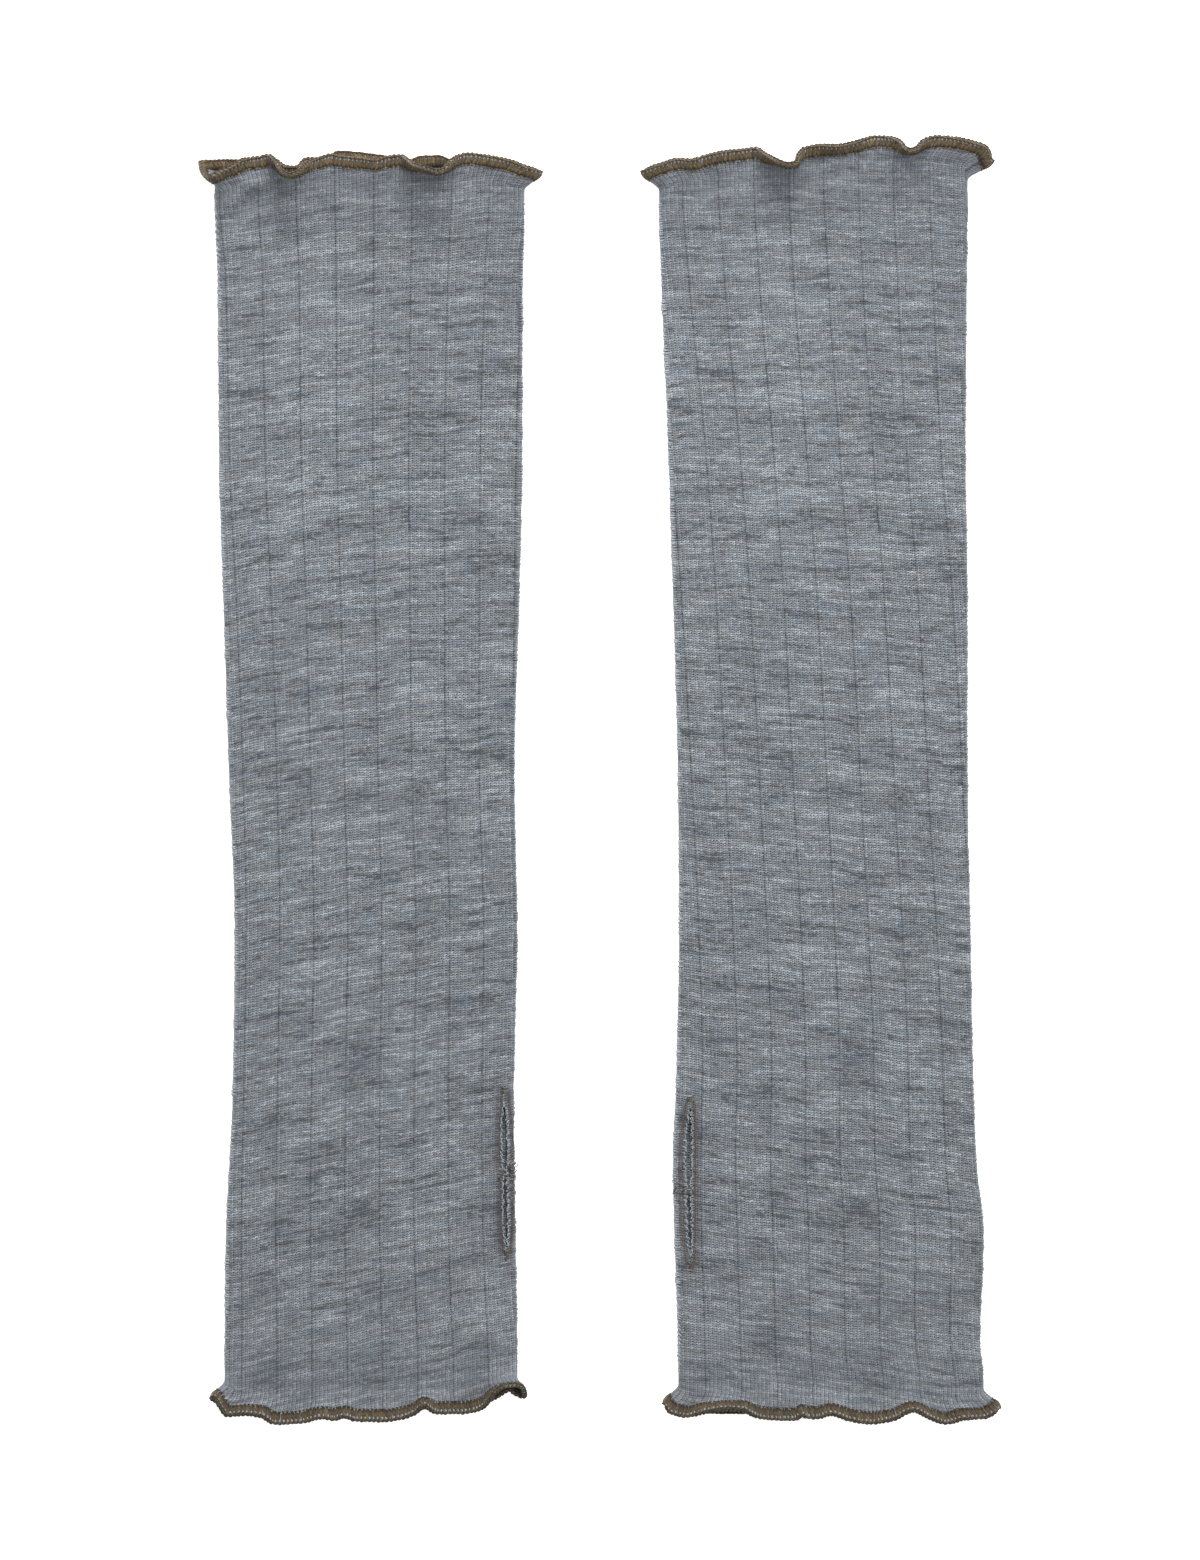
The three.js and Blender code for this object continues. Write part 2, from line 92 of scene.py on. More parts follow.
# The slit pushes the cloth apart, and its two lips stand up in a low welt that fades out
# past the slit's ends.
SLIT_HALF = 22
GAPE_REACH = 4
WELT_HEIGHT = 2.0
WELT_WIDTH = 2.2
WELT_FADE = 5
print(f"{RIBS * WALES} wales round the tube, {ROUND / RIBS / WALES:.2f} mm each")

# %% [markdown]
# ## Tables
# How a tube lies is a matter of a few measured places. A section gives the two side folds,
# how far the tube has rolled, how its ribs spread, and how its courses lean and bow. A ruffle
# row gives how far the edge reaches and how far it has curled up. The slit table says how far
# the slit gapes, and a crease is a soft trough or ridge from one point to another.

# %% A table with named columns
def table(names, *rows):
    return dict(zip(names.split(), np.array(rows, float).T))


# %% The left warmer
LEFT = {
    "name": "left",
    "centre": (-72.1, -2.2),
    "sections": table(
        "y left right roll spread lean bow",
        (-188, -46.0, 46.2, 0.58, 0.01, 12.5, 0),
        (-146, -45.7, 45.7, 0.5, 0.01, 11, 0),
        (-96, -43.5, 45.1, 0.43, 0.03, 10, 1.5),
        (-46, -42.8, 46.1, 0.41, 0.02, 9, 3),
        (5, -44.7, 45.2, 0.43, 0.0, 8, 6),
        (56, -46.3, 46.6, 0.36, -0.01, 6.5, 6.5),
        (106, -47.8, 47.7, 0.3, 0.0, 5, 5.5),
        (156, -48.2, 47.8, 0.33, 0.03, 5.5, 4.5),
        (186, -49.1, 48.4, 0.35, 0.05, 7, 4),
    ),
    "elbow": {
        "flare": (5.0, 5.8),
        "rows": table(
            "at out curl",
            (0.0, 0.2, 30), (0.018, -3.4, 52), (0.035, -4.8, 62), (0.06, -3.5, 62),
            (0.095, -1.4, 52),
            (0.125, 0.8, 40), (0.17, 1.8, 24), (0.19, 2.3, 28), (0.213, 0.2, 60),
            (0.232, -3.4, 88), (0.256, -4.8, 100), (0.28, -3.9, 94), (0.3, -1.5, 72),
            (0.318, 0.3, 46), (0.343, 1.5, 28), (0.375, 2.6, 18), (0.41, 2.0, 20),
            (0.47, 1.5, 24), (0.52, 0.8, 34), (0.555, 1.8, 28), (0.6, 2.2, 30),
            (0.618, 0.8, 50), (0.64, -1.4, 78), (0.67, -2.3, 90), (0.714, -3.8, 100),
            (0.735, -2.8, 92), (0.758, 0.9, 48), (0.775, 2.3, 28), (0.8, 2.9, 20),
            (0.87, 1.8, 24), (0.92, 0.2, 30), (0.956, -1.7, 36), (1.0, -2.8, 28),
            (1.05, -1.0, 14), (1.12, 1.4, 8), (1.245, 1.2, 10), (1.285, 2.6, 6),
            (1.34, 2.4, 8), (1.38, 1.0, 16), (1.47, 2.8, 6), (1.6, 4.0, 6),
            (1.64, 2.0, 16), (1.7, 1.6, 20), (1.725, -1.2, 34), (1.76, -1.0, 30),
            (1.79, 1.2, 18), (1.93, 1.2, 12),
        ),
    },
    "hand": {
        "flare": (4.6, 3.0),
        "rows": table(
            "at out curl",
            (0.0, -4.2, 34), (0.018, -5.0, 62), (0.04, -1.6, 60), (0.055, 0.8, 50), (0.1, 0.5, 50),
            (0.15, 1.2, 46), (0.19, 4.0, 18), (0.265, 3.7, 14), (0.345, 1.9, 34),
            (0.375, 2.6, 28), (0.41, 1.5, 42), (0.45, 2.8, 28), (0.545, 3.0, 26),
            (0.61, 1.9, 32), (0.65, 0.2, 44), (0.678, -2.4, 66), (0.7, -0.6, 42),
            (0.72, 0.6, 28), (0.795, 0.6, 20), (0.845, -0.4, 30), (0.868, -2.0, 48),
            (0.885, -4.6, 72), (0.9, -7.0, 92), (0.93, -9.0, 104), (0.958, -9.3, 100),
            (0.98, -8.4, 80), (1.0, -5.6, 44), (1.02, -4.3, 30), (1.04, -5.1, 30),
            (1.058, -6.6, 34), (1.09, -4.6, 30), (1.12, -3.0, 22), (1.18, -1.2, 12),
            (1.33, -0.4, 10), (1.55, 1.0, 6), (1.78, 2.0, 6), (1.93, -0.4, 18),
        ),
    },
    "slit": {
        "rib": 7.66,
        "y": -121.4,
        "gape": table(
            "up half",
            (-22, 0.02), (-20, 0.3), (-16, 0.5), (-10, 0.4), (-3, 0.3), (0, 0.12),
            (4, 0.45), (8, 0.65), (16, 0.55), (21, 0.02),
        ),
    },
    "creases": table(
        "face x0 y0 x1 y1 width height",
        (1, -49, 182, -34, 189, 2.2, 2.08),
        (1, -47, 178, -31, 185, 2.6, -1.28),
        (1, -47, 187, -39, 191, 1.8, -1.28),
        (1, -7, 186, 10, 184, 3.0, -0.8),
        (1, 12, 179, 30, 184, 3.2, 0.8),
        (1, -44, -157, -19, -148, 2.0, -0.64),
        (1, -36, -168, 3, -160, 2.2, -0.8),
        (1, 3, -160, 40, -147, 2.2, -0.8),
        (1, -40, -120, -10, -112, 3.5, 0.56),
        (1, -30, 60, 5, 66, 4.0, 0.48),
        (-1, -38, 172, -12, 181, 3.0, 0.96),
        (-1, 8, 176, 33, 168, 3.4, 0.8),
        (-1, -30, -170, 14, -160, 3.0, 0.8),
        (-1, -10, -20, 28, -12, 4.0, 0.64),
    ),
}

# %% The right warmer
RIGHT = {
    "name": "right",
    "centre": (69.9, -0.8),
    "sections": table(
        "y left right roll spread lean bow",
        (-188, -45.2, 51.0, 1.73, -0.03, -7, 0),
        (-172, -45.4, 49.8, 1.7, -0.03, -7.5, 0),
        (-142, -46.4, 50.9, 1.66, -0.03, -8, 0),
        (-120, -46.9, 48.7, 1.68, -0.03, -7.5, 0),
        (-96, -46.0, 47.7, 1.68, -0.03, -6.5, 0),
        (-46, -45.0, 46.7, 1.53, -0.02, -5, 0),
        (5, -45.4, 45.8, 1.34, -0.02, -4, 0),
        (56, -46.8, 45.8, 1.15, -0.04, -2.7, 0.5),
        (106, -48.4, 45.2, 0.91, -0.06, -1.2, 1.5),
        (156, -50.5, 45.6, 0.65, -0.05, -0.6, 3),
        (186, -51.3, 45.8, 0.53, -0.06, -0.4, 4),
    ),
    "elbow": {
        "flare": (6.0, 8.4),
        "rows": table(
            "at out curl",
            (0.0, -4.2, 28), (0.05, -2.4, 38), (0.1, -0.4, 28), (0.135, -0.7, 36),
            (0.16, 0.3, 24), (0.215, 1.8, 34), (0.27, 2.5, 28), (0.318, 3.1, 30),
            (0.348, 0.6, 64), (0.385, -1.8, 92), (0.415, -2.9, 98), (0.44, -2.4, 90),
            (0.453, 1.2, 54), (0.478, 3.4, 32), (0.525, 3.9, 40), (0.57, 3.6, 50),
            (0.62, 4.5, 44), (0.695, 7.0, 16), (0.735, 6.5, 32), (0.76, 4.8, 60),
            (0.775, 2.3, 84), (0.79, 1.6, 94), (0.804, 2.3, 84), (0.82, 4.8, 50),
            (0.84, 6.4, 28), (0.865, 6.8, 24), (0.9, 6.2, 34), (0.94, 4.9, 42),
            (0.97, 3.4, 42), (1.0, -0.8, 28), (1.06, 1.0, 24), (1.21, 0.2, 24),
            (1.32, 2.4, 10), (1.45, 2.2, 8), (1.58, -3.2, 38), (1.7, 0.4, 8),
            (1.86, -0.2, 18), (1.95, -2.0, 22),
        ),
    },
    "hand": {
        "flare": (5.2, 5.4),
        "rows": table(
            "at out curl",
            (0.0, -1.2, 28), (0.03, 1.8, 24), (0.07, 3.0, 20), (0.1, 2.0, 36),
            (0.135, 0.7, 60), (0.18, -0.1, 70), (0.225, 0.4, 62), (0.25, 2.2, 42),
            (0.275, 3.5, 22), (0.335, 4.2, 14), (0.385, 4.1, 20), (0.404, 2.6, 38),
            (0.422, 3.4, 26), (0.45, 3.6, 20), (0.5, 2.1, 42), (0.56, 4.2, 28), (0.625, 5.1, 26),
            (0.69, 3.8, 44), (0.755, 0.6, 62), (0.81, 3.7, 38), (0.85, 5.2, 24),
            (0.9, 3.5, 40), (0.945, 3.4, 24), (0.975, 1.8, 32), (1.0, 0.2, 28),
            (1.05, 0.6, 20), (1.22, -0.6, 20), (1.45, 1.8, 6), (1.68, 2.2, 6),
            (1.83, 2.4, 6), (1.94, 1.2, 16),
        ),
    },
    "slit": {
        "rib": -1.305,
        "y": -125.6,
        "gape": table(
            "up half",
            (-22, 0.02), (-19, 0.15), (-12, 0.32), (-4.6, 0.4), (-2, 0.3), (1.8, 0.6),
            (10, 0.65), (17, 0.5), (22, 0.02),
        ),
    },
    "creases": table(
        "face x0 y0 x1 y1 width height",
        (1, -4, 190, 8, 194, 3.2, -1.12),
        (1, -21, 179, 8, 188, 2.8, -0.8),
        (1, -16, 184, -4, 190, 2.6, 0.8),
        (1, 36, -182, 40, -158, 3.4, -0.96),
        (1, -6, -196, -6, -186, 1.6, -0.96),
        (1, -37, -156, -24, -158, 2.0, -0.64),
        (1, -20, 120, 14, 116, 4.0, 0.48),
        (1, -32, -60, 4, -66, 4.2, 0.48),
        (-1, -30, 178, -4, 170, 3.2, 0.96),
        (-1, 6, 166, 34, 176, 3.0, 0.8),
        (-1, -34, -164, -6, -172, 3.0, 0.8),
        (-1, -8, 30, 26, 22, 4.0, 0.64),
    ),
}
WARMERS = (LEFT, RIGHT)
ENDS = ("elbow", "hand")
print("rows of ruffle:", [len(warmer[end]["rows"]["at"]) for warmer in WARMERS for end in ENDS])

# %% [markdown]
# ## A smooth curve through a table
# Straight lines between rows would leave kinks in the cloth, and an ordinary spline would
# overshoot them. This curve takes its slope at a row from the two slopes beside it, and none
# where they point opposite ways, so that a crest stays as high as the table says.

# %% A curve that never overshoots
def curve(keys, values, x, period=0.0):
    """The value at x. With a period, the curve joins its own start."""
    x = np.asarray(x, float)
    if period:
        x = keys[0] + np.mod(x - keys[0], period)
        keys = np.concatenate([[keys[-1] - period], keys, keys[:2] + period])
        values = np.concatenate([values[-1:], values, values[:2]])
        steps = np.diff(values) / np.diff(keys)
        before, after = steps[:-1], steps[1:]
        keys, values = keys[1:-1], values[1:-1]
    else:
        x = np.clip(x, keys[0], keys[-1])
        steps = np.diff(values) / np.diff(keys)
        before, after = np.append(0, steps), np.append(steps, 0)
    alike = before * after > 0
    total = np.where(alike, before + after, 1)
    slope = np.where(alike, 2 * before * after / total, 0)
    i = np.clip(np.searchsorted(keys, x, side="right") - 1, 0, len(keys) - 2)
    width = keys[i + 1] - keys[i]
    t = (x - keys[i]) / width
    rise = values[i + 1] - values[i]
    bend = (1 - t) * slope[i] * width - t * slope[i + 1] * width
    return values[i] + t * rise + t * (1 - t) * (bend - (1 - 2 * t) * rise)


def smooth(low, high, x):
    """From 0 at low to 1 at high, with a soft start and a soft stop."""
    t = np.clip((x - low) / (high - low), 0, 1)
    return t * t * (3 - 2 * t)


# %% [markdown]
# ## The shape of the cloth
# One formula gives the middle of the cloth anywhere on a warmer, from ribs round the tube and
# millimetres along it. Everything that is sewn on the cloth asks the same formula where it
# lies, and so nothing has to be fitted afterwards. A cloth simulation would flatten the tube
# just as well, but it would lose the ruffles, which come from thread tension.

# %% Once round the flattened tube
def section(turn, left, right, height):
    """x and z at a share of the way round, and how far that is inside the front or the back."""
    radius = (height - CLOTH) / 2
    low = CLOTH / 2
    start, end = left + low + radius, right - low - radius
    quarter = math.pi * radius / 2
    length = end - start
    d = turn * (2 * length + 4 * quarter)
    on_front = (d >= quarter) & (d < quarter + length)
    on_right = (d >= quarter + length) & (d < 3 * quarter + length)
    on_back = (d >= 3 * quarter + length) & (d < 3 * quarter + 2 * length)
    angle = np.select(
        [d < quarter, on_right],
        [math.pi - d / radius, math.pi / 2 - (d - quarter - length) / radius],
        -math.pi / 2 - (d - 3 * quarter - 2 * length) / radius,
    )
    front_x = start + d - quarter
    back_x = end - (d - 3 * quarter - length)
    flat_x = np.where(on_front, front_x, back_x)

    # The dip is deep over most of the flat part and ends at its two sides.
    across = 2 * (flat_x - start) / length - 1
    inner = 1 - across**4
    dip = MIDDLE_DIP + MOUTH_DIP * (height - FOLD_HEIGHT)
    centre = np.where(on_right, end, start)
    flat = on_front | on_back
    x = np.where(flat, flat_x, centre + radius * np.cos(angle))
    flat_z = np.where(on_front, low + 2 * radius - dip * inner, low)
    z = np.where(flat, flat_z, low + radius + radius * np.sin(angle))
    return x, z, np.where(on_front, inner, 0), np.where(on_back, inner, 0)


# %% The slit gapes, and creases press the cloth in or lift it
def parted(warmer, ribs, along):
    slit = warmer["slit"]
    away = (ribs - slit["rib"]) / RIBS_PER_MM
    up = along - slit["y"]
    half = curve(slit["gape"]["up"], slit["gape"]["half"], up) * (np.abs(up) < SLIT_HALF)
    return ribs + RIBS_PER_MM * np.sign(away) * half * np.exp(-np.abs(away) / GAPE_REACH)


def relief(warmer, x, y, face):
    """How far the creases of one face lift it. Each fades in and out along its length."""
    creases = warmer["creases"]
    total = np.zeros_like(x)
    for i in np.flatnonzero(creases["face"] == face):
        start = np.array([creases["x0"][i], creases["y0"][i]])
        way = np.array([creases["x1"][i], creases["y1"][i]]) - start
        length = np.hypot(*way)
        way = way / length
        share = ((x - start[0]) * way[0] + (y - start[1]) * way[1]) / length
        aside = (x - start[0]) * way[1] - (y - start[1]) * way[0]
        fade = smooth(-0.25, 0.3, share) * (1 - smooth(0.7, 1.25, share))
        total += creases["height"][i] * fade * np.exp(-((aside / creases["width"][i]) ** 2))
    return total


# %% Values from the tables
def from_sections(warmer, column, y):
    return curve(warmer["sections"]["y"], warmer["sections"][column], y)


def from_rows(warmer, column, turn, elbow):
    """From the ruffle rows, where the front lies from 0 to 1 and the back from 1 to 2."""
    tables = [warmer[end]["rows"] for end in ENDS]
    return np.where(elbow, *(curve(rows["at"], rows[column], 2 * turn, 2) for rows in tables))


# %% The middle of the cloth
def cloth(warmer, ribs, along):
    ribs, along = np.broadcast_arrays(np.asarray(ribs, float), np.asarray(along, float))

    # The share of the way round, from the left fold over the front.
    even = (parted(warmer, ribs, along) + from_sections(warmer, "roll", along)) / RIBS
    spread = from_sections(warmer, "spread", along)
    turn = even - spread * np.cos(2 * math.pi * even) / (2 * math.pi)
    turn = turn - np.floor(turn)

    # The flattened tube, up to the hinge of the ruffle.
    side = np.sign(along)
    y = np.clip(along, -HINGE, HINGE)
    inside = HINGE - np.abs(y)
    opened = 1 - smooth(0, MOUTH_DEPTH, inside)
    height = FOLD_HEIGHT + (MOUTH_HEIGHT - FOLD_HEIGHT) * opened
    left, right = from_sections(warmer, "left", y), from_sections(warmer, "right", y)
    x, z, front, back = section(turn, left, right, height)
    across = (2 * x - left - right) / (right - left)

    # Creases, the welt, and the cloth that rises where the edge curls. A high power of the
    # place across counts only at the two corners.
    elbow = along > 0
    out = from_rows(warmer, "out", turn, elbow)
    curl = np.radians(from_rows(warmer, "curl", turn, elbow))
    slit = warmer["slit"]
    beside = np.abs(ribs - slit["rib"]) / RIBS_PER_MM
    past_slit = np.abs(along - slit["y"]) - SLIT_HALF
    welt = WELT_HEIGHT * np.exp(-((beside / WELT_WIDTH) ** 2))
    welt = welt * (1 - smooth(0, WELT_FADE, past_slit))
    z = z + np.sqrt(front) * relief(warmer, x, along, 1) + back * relief(warmer, x, along, -1)
    z = z + front * welt + GATHER * (curl / math.pi) * front * opened
    z = z + HOLLOW * (curl / math.pi) ** 1.5 * front * (1 - smooth(0, HOLLOW_DEPTH, inside))
    corner = TURN_OUT * across**8
    moved = out + RUFFLE * (1 - np.sin(curl) / curl) + corner
    y = y + side * moved * (1 - smooth(0, RUFFLE_FADE, inside))

    # The ruffle past the hinge: an arc, which flares out sideways near the two folds.
    past = np.maximum(0, np.abs(along) - HINGE)
    share = past / RUFFLE
    turned = curl * share
    flares = [np.where(elbow, *(warmer[end]["flare"][i] for end in ENDS)) for i in (0, 1)]
    x = x + np.where(across < 0, *flares) * across**3 * smooth(0.3, 0.95, share)
    y = y + side * (RUFFLE * np.sin(turned) / curl - corner * share)
    z = z + RUFFLE * (1 - np.cos(turned)) / curl
    z = z + (EDGING_THICKNESS - CLOTH) / 2 * smooth(0, RUFFLE - EDGING, past)
    return np.stack([x + warmer["centre"][0], y + warmer["centre"][1], z], -1)


# %% Straight out of the cloth
def unit(vectors):
    return vectors / np.linalg.norm(vectors, axis=-1, keepdims=True)


def outward(warmer, ribs, along):
    step_ribs, step_along = 0.01, 0.05
    round_it = cloth(warmer, ribs + step_ribs, along) - cloth(warmer, ribs - step_ribs, along)
    along_it = cloth(warmer, ribs, along + step_along) - cloth(warmer, ribs, along - step_along)
    return unit(np.cross(round_it, along_it))


def on_cloth(warmer, ribs, along, out):
    return cloth(warmer, ribs, along) + outward(warmer, ribs, along) * np.asarray(out)[..., None]


print("middle of the left warmer's front:", cloth(LEFT, 4.0, 0.0).round(1))

# %% [markdown]
# ## Shader sums
# A knit is mostly arithmetic: where on a stitch is this point, and how deep is the yarn there?
# Node trees for such sums get long, so a socket is wrapped in a small class that turns plain
# Python sums into Math nodes. Every other node comes from one method.

# %% A socket that can be used in a sum
class Value:
    def __init__(self, finish, socket):
        self.finish = finish
        self.socket = socket

    def __add__(self, other):
        return self.finish.math("ADD", self, other)

    __radd__ = __add__

    def __sub__(self, other):
        return self.finish.math("SUBTRACT", self, other)

    def __rsub__(self, other):
        return self.finish.math("SUBTRACT", other, self)

    def __mul__(self, other):
        return self.finish.math("MULTIPLY", self, other)

    __rmul__ = __mul__

    def __truediv__(self, other):
        return self.finish.math("DIVIDE", self, other)

    def __abs__(self):
        return self.finish.math("ABSOLUTE", self)


# %% A finish: one material and the ways to add to it
class Finish:
    def __init__(self, name):
        self.material = bpy.data.materials.new(name)
        self.material.use_nodes = True
        self.tree = self.material.node_tree
        self.tree.nodes.clear()

    def node(self, kind, settings=None, inputs=None, output=0):
        node = self.tree.nodes.new("ShaderNode" + kind)
        for name, value in (settings or {}).items():
            setattr(node, name, value)
        for name, value in (inputs or {}).items():
            if isinstance(value, Value):
                self.tree.links.new(value.socket, node.inputs[name])
            else:
                node.inputs[name].default_value = value
        return Value(self, node.outputs[output]) if len(node.outputs) else None

    def math(self, operation, *values):
        return self.node("Math", {"operation": operation}, dict(enumerate(values)))

    def between(self, x, low, high, start=0.0, end=1.0):
        sockets = {0: x, 1: low, 2: high, 3: start, 4: end}
        return self.node("MapRange", {"interpolation_type": "SMOOTHSTEP"}, sockets)

    def scaled(self, vector, sizes):
        return self.node("VectorMath", {"operation": "DIVIDE"}, {0: vector, 1: sizes})

    def vector(self, x, y, z):
        return self.node("CombineXYZ", None, {0: x, 1: y, 2: z})

    def attribute(self, name):
        return self.node("Attribute", {"attribute_name": name}, None, 2)

    def parts(self, vector):
        first = self.node("SeparateXYZ", None, {0: vector})
        return [first] + [Value(self, first.socket.node.outputs[i]) for i in (1, 2)]

    def noise(self, vector, detail=2.0, roughness=0.5, distortion=0.0):
        sockets = {"Vector": vector, "Scale": 1.0, "Detail": detail, "Roughness": roughness}
        return self.node("TexNoise", None, sockets | {"Distortion": distortion})

    def chance(self, vector):
        return self.node("TexWhiteNoise", {"noise_dimensions": "3D"}, {"Vector": vector})

    def mix(self, share, first, second, way="MIX"):
        settings = {"data_type": "RGBA", "blend_type": way}
        return self.node("Mix", settings, {0: share, 6: first, 7: second}, 2)

    def dyed(self, colour, dye):
        return self.mix(1.0, colour, dye, "MULTIPLY")

    def bump(self, height, distance, strength):
        sockets = {"Height": height, "Distance": distance, "Strength": strength}
        return self.node("Bump", None, sockets)

    def finished(self, inputs):
        surface = self.node("BsdfPrincipled", None, inputs)
        self.node("OutputMaterial", None, {"Surface": surface})
        return self.material


# %% Paint is mixed as on a screen, from 0 to 255, and Blender reckons in amounts of light
def paint(*screen):
    shares = [c / 255 for c in screen]
    light = [c / 12.92 if c < 0.04045 else ((c + 0.055) / 1.055) ** 2.4 for c in shares]
    return (*light, 1.0)


# %% [markdown]
# ## The knit
# The cloth is fine plain knit in melange wool: light and dark fibres were mixed before the
# yarn was spun, so each course goes from pale to dark in short dashes. An image could show
# this, but it would blur close up. Here every stitch is worked out: the UV map counts wales
# and courses, so whole numbers are stitches. Two legs of yarn make a V in each, one needle
# in nine was dropped and leaves a ladder, and the colour is read off the tube's own round
# shape, from before it was pressed flat, so that it has no seam.

# %% Melange: dashes of a few stitches, streaks of a few courses, and broad clouds
def melange(f, tube, row, single):
    x, y, _ = f.parts(tube)
    dash = f.noise(f.vector(x / 5.0, y / 5.0, row * 3.7), 2.0, 0.6)
    streak = f.noise(f.scaled(tube, (14.0, 14.0, 1.6)), 3.0, 0.6, 0.4)
    cloud = f.noise(f.scaled(tube, (30.0, 30.0, 8.0)))
    tone = 0.52 + (dash - 0.5) * 0.85 + (streak - 0.5) * 1.9
    tone = tone + (cloud - 0.5) * 0.95 + (single - 0.5) * 0.4
    light = f.mix(f.between(tone, 0.0, 0.5), paint(88, 92, 97), paint(142, 148, 153))
    light = f.mix(f.between(tone, 0.5, 1.0), light, paint(182, 190, 196))
    warm = f.noise(f.scaled(tube, (8.0, 8.0, 2.6)))
    light = f.mix(f.between(warm, 0.5, 0.75, 0.0, 0.36), light, paint(141, 137, 130))
    return f.mix(f.between(warm, 0.5, 0.25, 0.0, 0.42), light, paint(122, 136, 151))


# %% The dropped needle's ladder: a dark line of painted shade in its gap, with a rung at every course
def dropped_needle(f, tube, wale, course, under, stretch):
    rib = wale / WALES + 0.5
    to_line = abs(f.math("FRACT", rib) - 0.5) * WALES
    ladder = 1 - f.between(to_line, 0.12, 0.38)
    uneven = f.noise(f.scaled(tube, (30.0, 30.0, 9.0)))
    rung = f.chance(f.vector(f.math("FLOOR", rib), f.math("FLOOR", course), 9.5))
    ladder = ladder * f.between(uneven, 0.35, 0.6, 0.55, 1.0) * (under * 0.5 + rung * 0.5 + 0.1)
    return ladder * (1 - stretch * 0.25)


# %% The knit's material
def knit_material():
    f = Finish("melange knit")
    wale, course, _ = f.parts(f.node("UVMap", {"uv_map": "knit"}))
    stretch, smoky = f.attribute("stretch"), f.attribute("smoky")
    radius = ROUND / (2 * math.pi)
    angle = wale * (2 * math.pi / (RIBS * WALES))
    tube = f.vector(
        f.math("COSINE", angle) * radius, f.math("SINE", angle) * radius, course * COURSE
    )

    # No two stitches are quite alike: the yarn wanders a little.
    wander = f.noise(f.scaled(tube, (2.2, 2.2, 1.6))) - 0.5
    drift = f.noise(f.scaled(tube, (1.2, 1.2, 1.4))) - 0.5
    shifted = wale + drift * 0.55
    across = f.math("FRACT", shifted)
    away = abs(across * 2 - 1)
    climb = course + wander * 0.9 + across * 0.1 - away * 0.38
    rise = f.math("FRACT", climb)
    row = f.math("FLOOR", climb)
    single = f.chance(f.vector(f.math("FLOOR", shifted), row, 0.5))
    next_wale, next_row = f.math("FLOOR", shifted + 0.5), f.math("FLOOR", climb + 0.5)
    between_two = f.chance(f.vector(next_wale, next_row, 3.5))

    # Light is lost between two wales, between the legs of a V, and most of all where a loop
    # comes up through the one below. Where the cloth is stretched the courses show less.
    pulled = stretch * 0.5
    beside = f.between(away, 0.55, 0.95)
    split = 1 - f.between(away, 0.05, 0.45)
    under = f.between(abs(rise * 2 - 1), 0.3, 1.0) * (1 - pulled)
    lost = beside * (0.14 + pulled * 0.5) + split * (0.34 - pulled * 0.1) + under * 0.46
    holes = beside * under * (between_two * 1.1 + 0.4)
    lost = lost + holes * f.between(stretch, 0.0, 0.3, 1.0, 0.6)
    yarn = f.math("MAXIMUM", 1 - lost, 0.0)
    ladder = dropped_needle(f, tube, wale, course, under, stretch)

    # The left leg of each V turns from the light, and dark hairs lie over both. Stretched cloth is
    # painted darker, as painted shade from the unlit inside seen between the opened stitches.
    # Smoky thread shines through beside the slit.
    light = melange(f, tube, row, single)
    left_leg = 1 - f.between(across, 0.44, 0.56)
    light = f.mix(left_leg * 0.6, light, f.dyed(light, paint(214, 214, 216)))
    hairs = f.noise(f.scaled(tube, (0.5, 0.5, 0.35)), 2.0, 0.7)
    light = f.mix(f.between(hairs, 0.35, 0.65, 0.5, 0.0), light, paint(84, 88, 93))
    # Painted shade: stretched cloth is darkened where its opened stitches would show the unlit
    # inside.
    light = f.mix(f.between(stretch, 0.0, 0.4, 0.0, 0.34), light, paint(84, 86, 93))
    light = f.mix(smoky * 0.75, light, f.dyed(light, paint(168, 154, 154)))
    colour = f.mix(yarn, f.dyed(light, paint(84, 84, 90)), light)
    # The ladder's dark line is painted shade in the gap of the dropped needle; its groove in the
    # mesh and its bump are real relief.
    colour = f.mix(ladder, colour, f.dyed(light, paint(62, 62, 70)))
    fibres = f.noise(f.scaled(tube, (0.16, 0.16, 0.16)), 2.0, 0.7)
    height = yarn + fibres * 0.35 - ladder * 0.7
    return f.finished({
        "Base Color": colour,
        "Roughness": f.between(fibres, 0.2, 0.8, 0.82, 0.98),
        "Normal": f.bump(height, 0.00028, 0.8),
        "Specular IOR Level": 0.25,
        "Sheen Weight": 0.2,
        "Sheen Roughness": 0.55,
        "Sheen Tint": paint(225, 232, 240),
    })


KNIT = knit_material()
print("nodes in the knit:", len(KNIT.node_tree.nodes))

# %% [markdown]
# ## Threads
# The overlock is sewn with a soft textured thread that spreads into many fibres, and the
# thumb slit with a thin one. Both finishes read the strand's own place, which every strand
# carries as an attribute: round it, and along it. Along, each strand has room for 4 units
# and fills the middle 3, so the finish can tell strands apart. Fine lines are its fibres.
# The hand's overlock is painted a little darker than the elbow's, as painted shade for the dimmer
# light at that end, and a second attribute says so.

# %% Thread finishes
STRAND_ROOM = 4
STRAND_FILL = 3


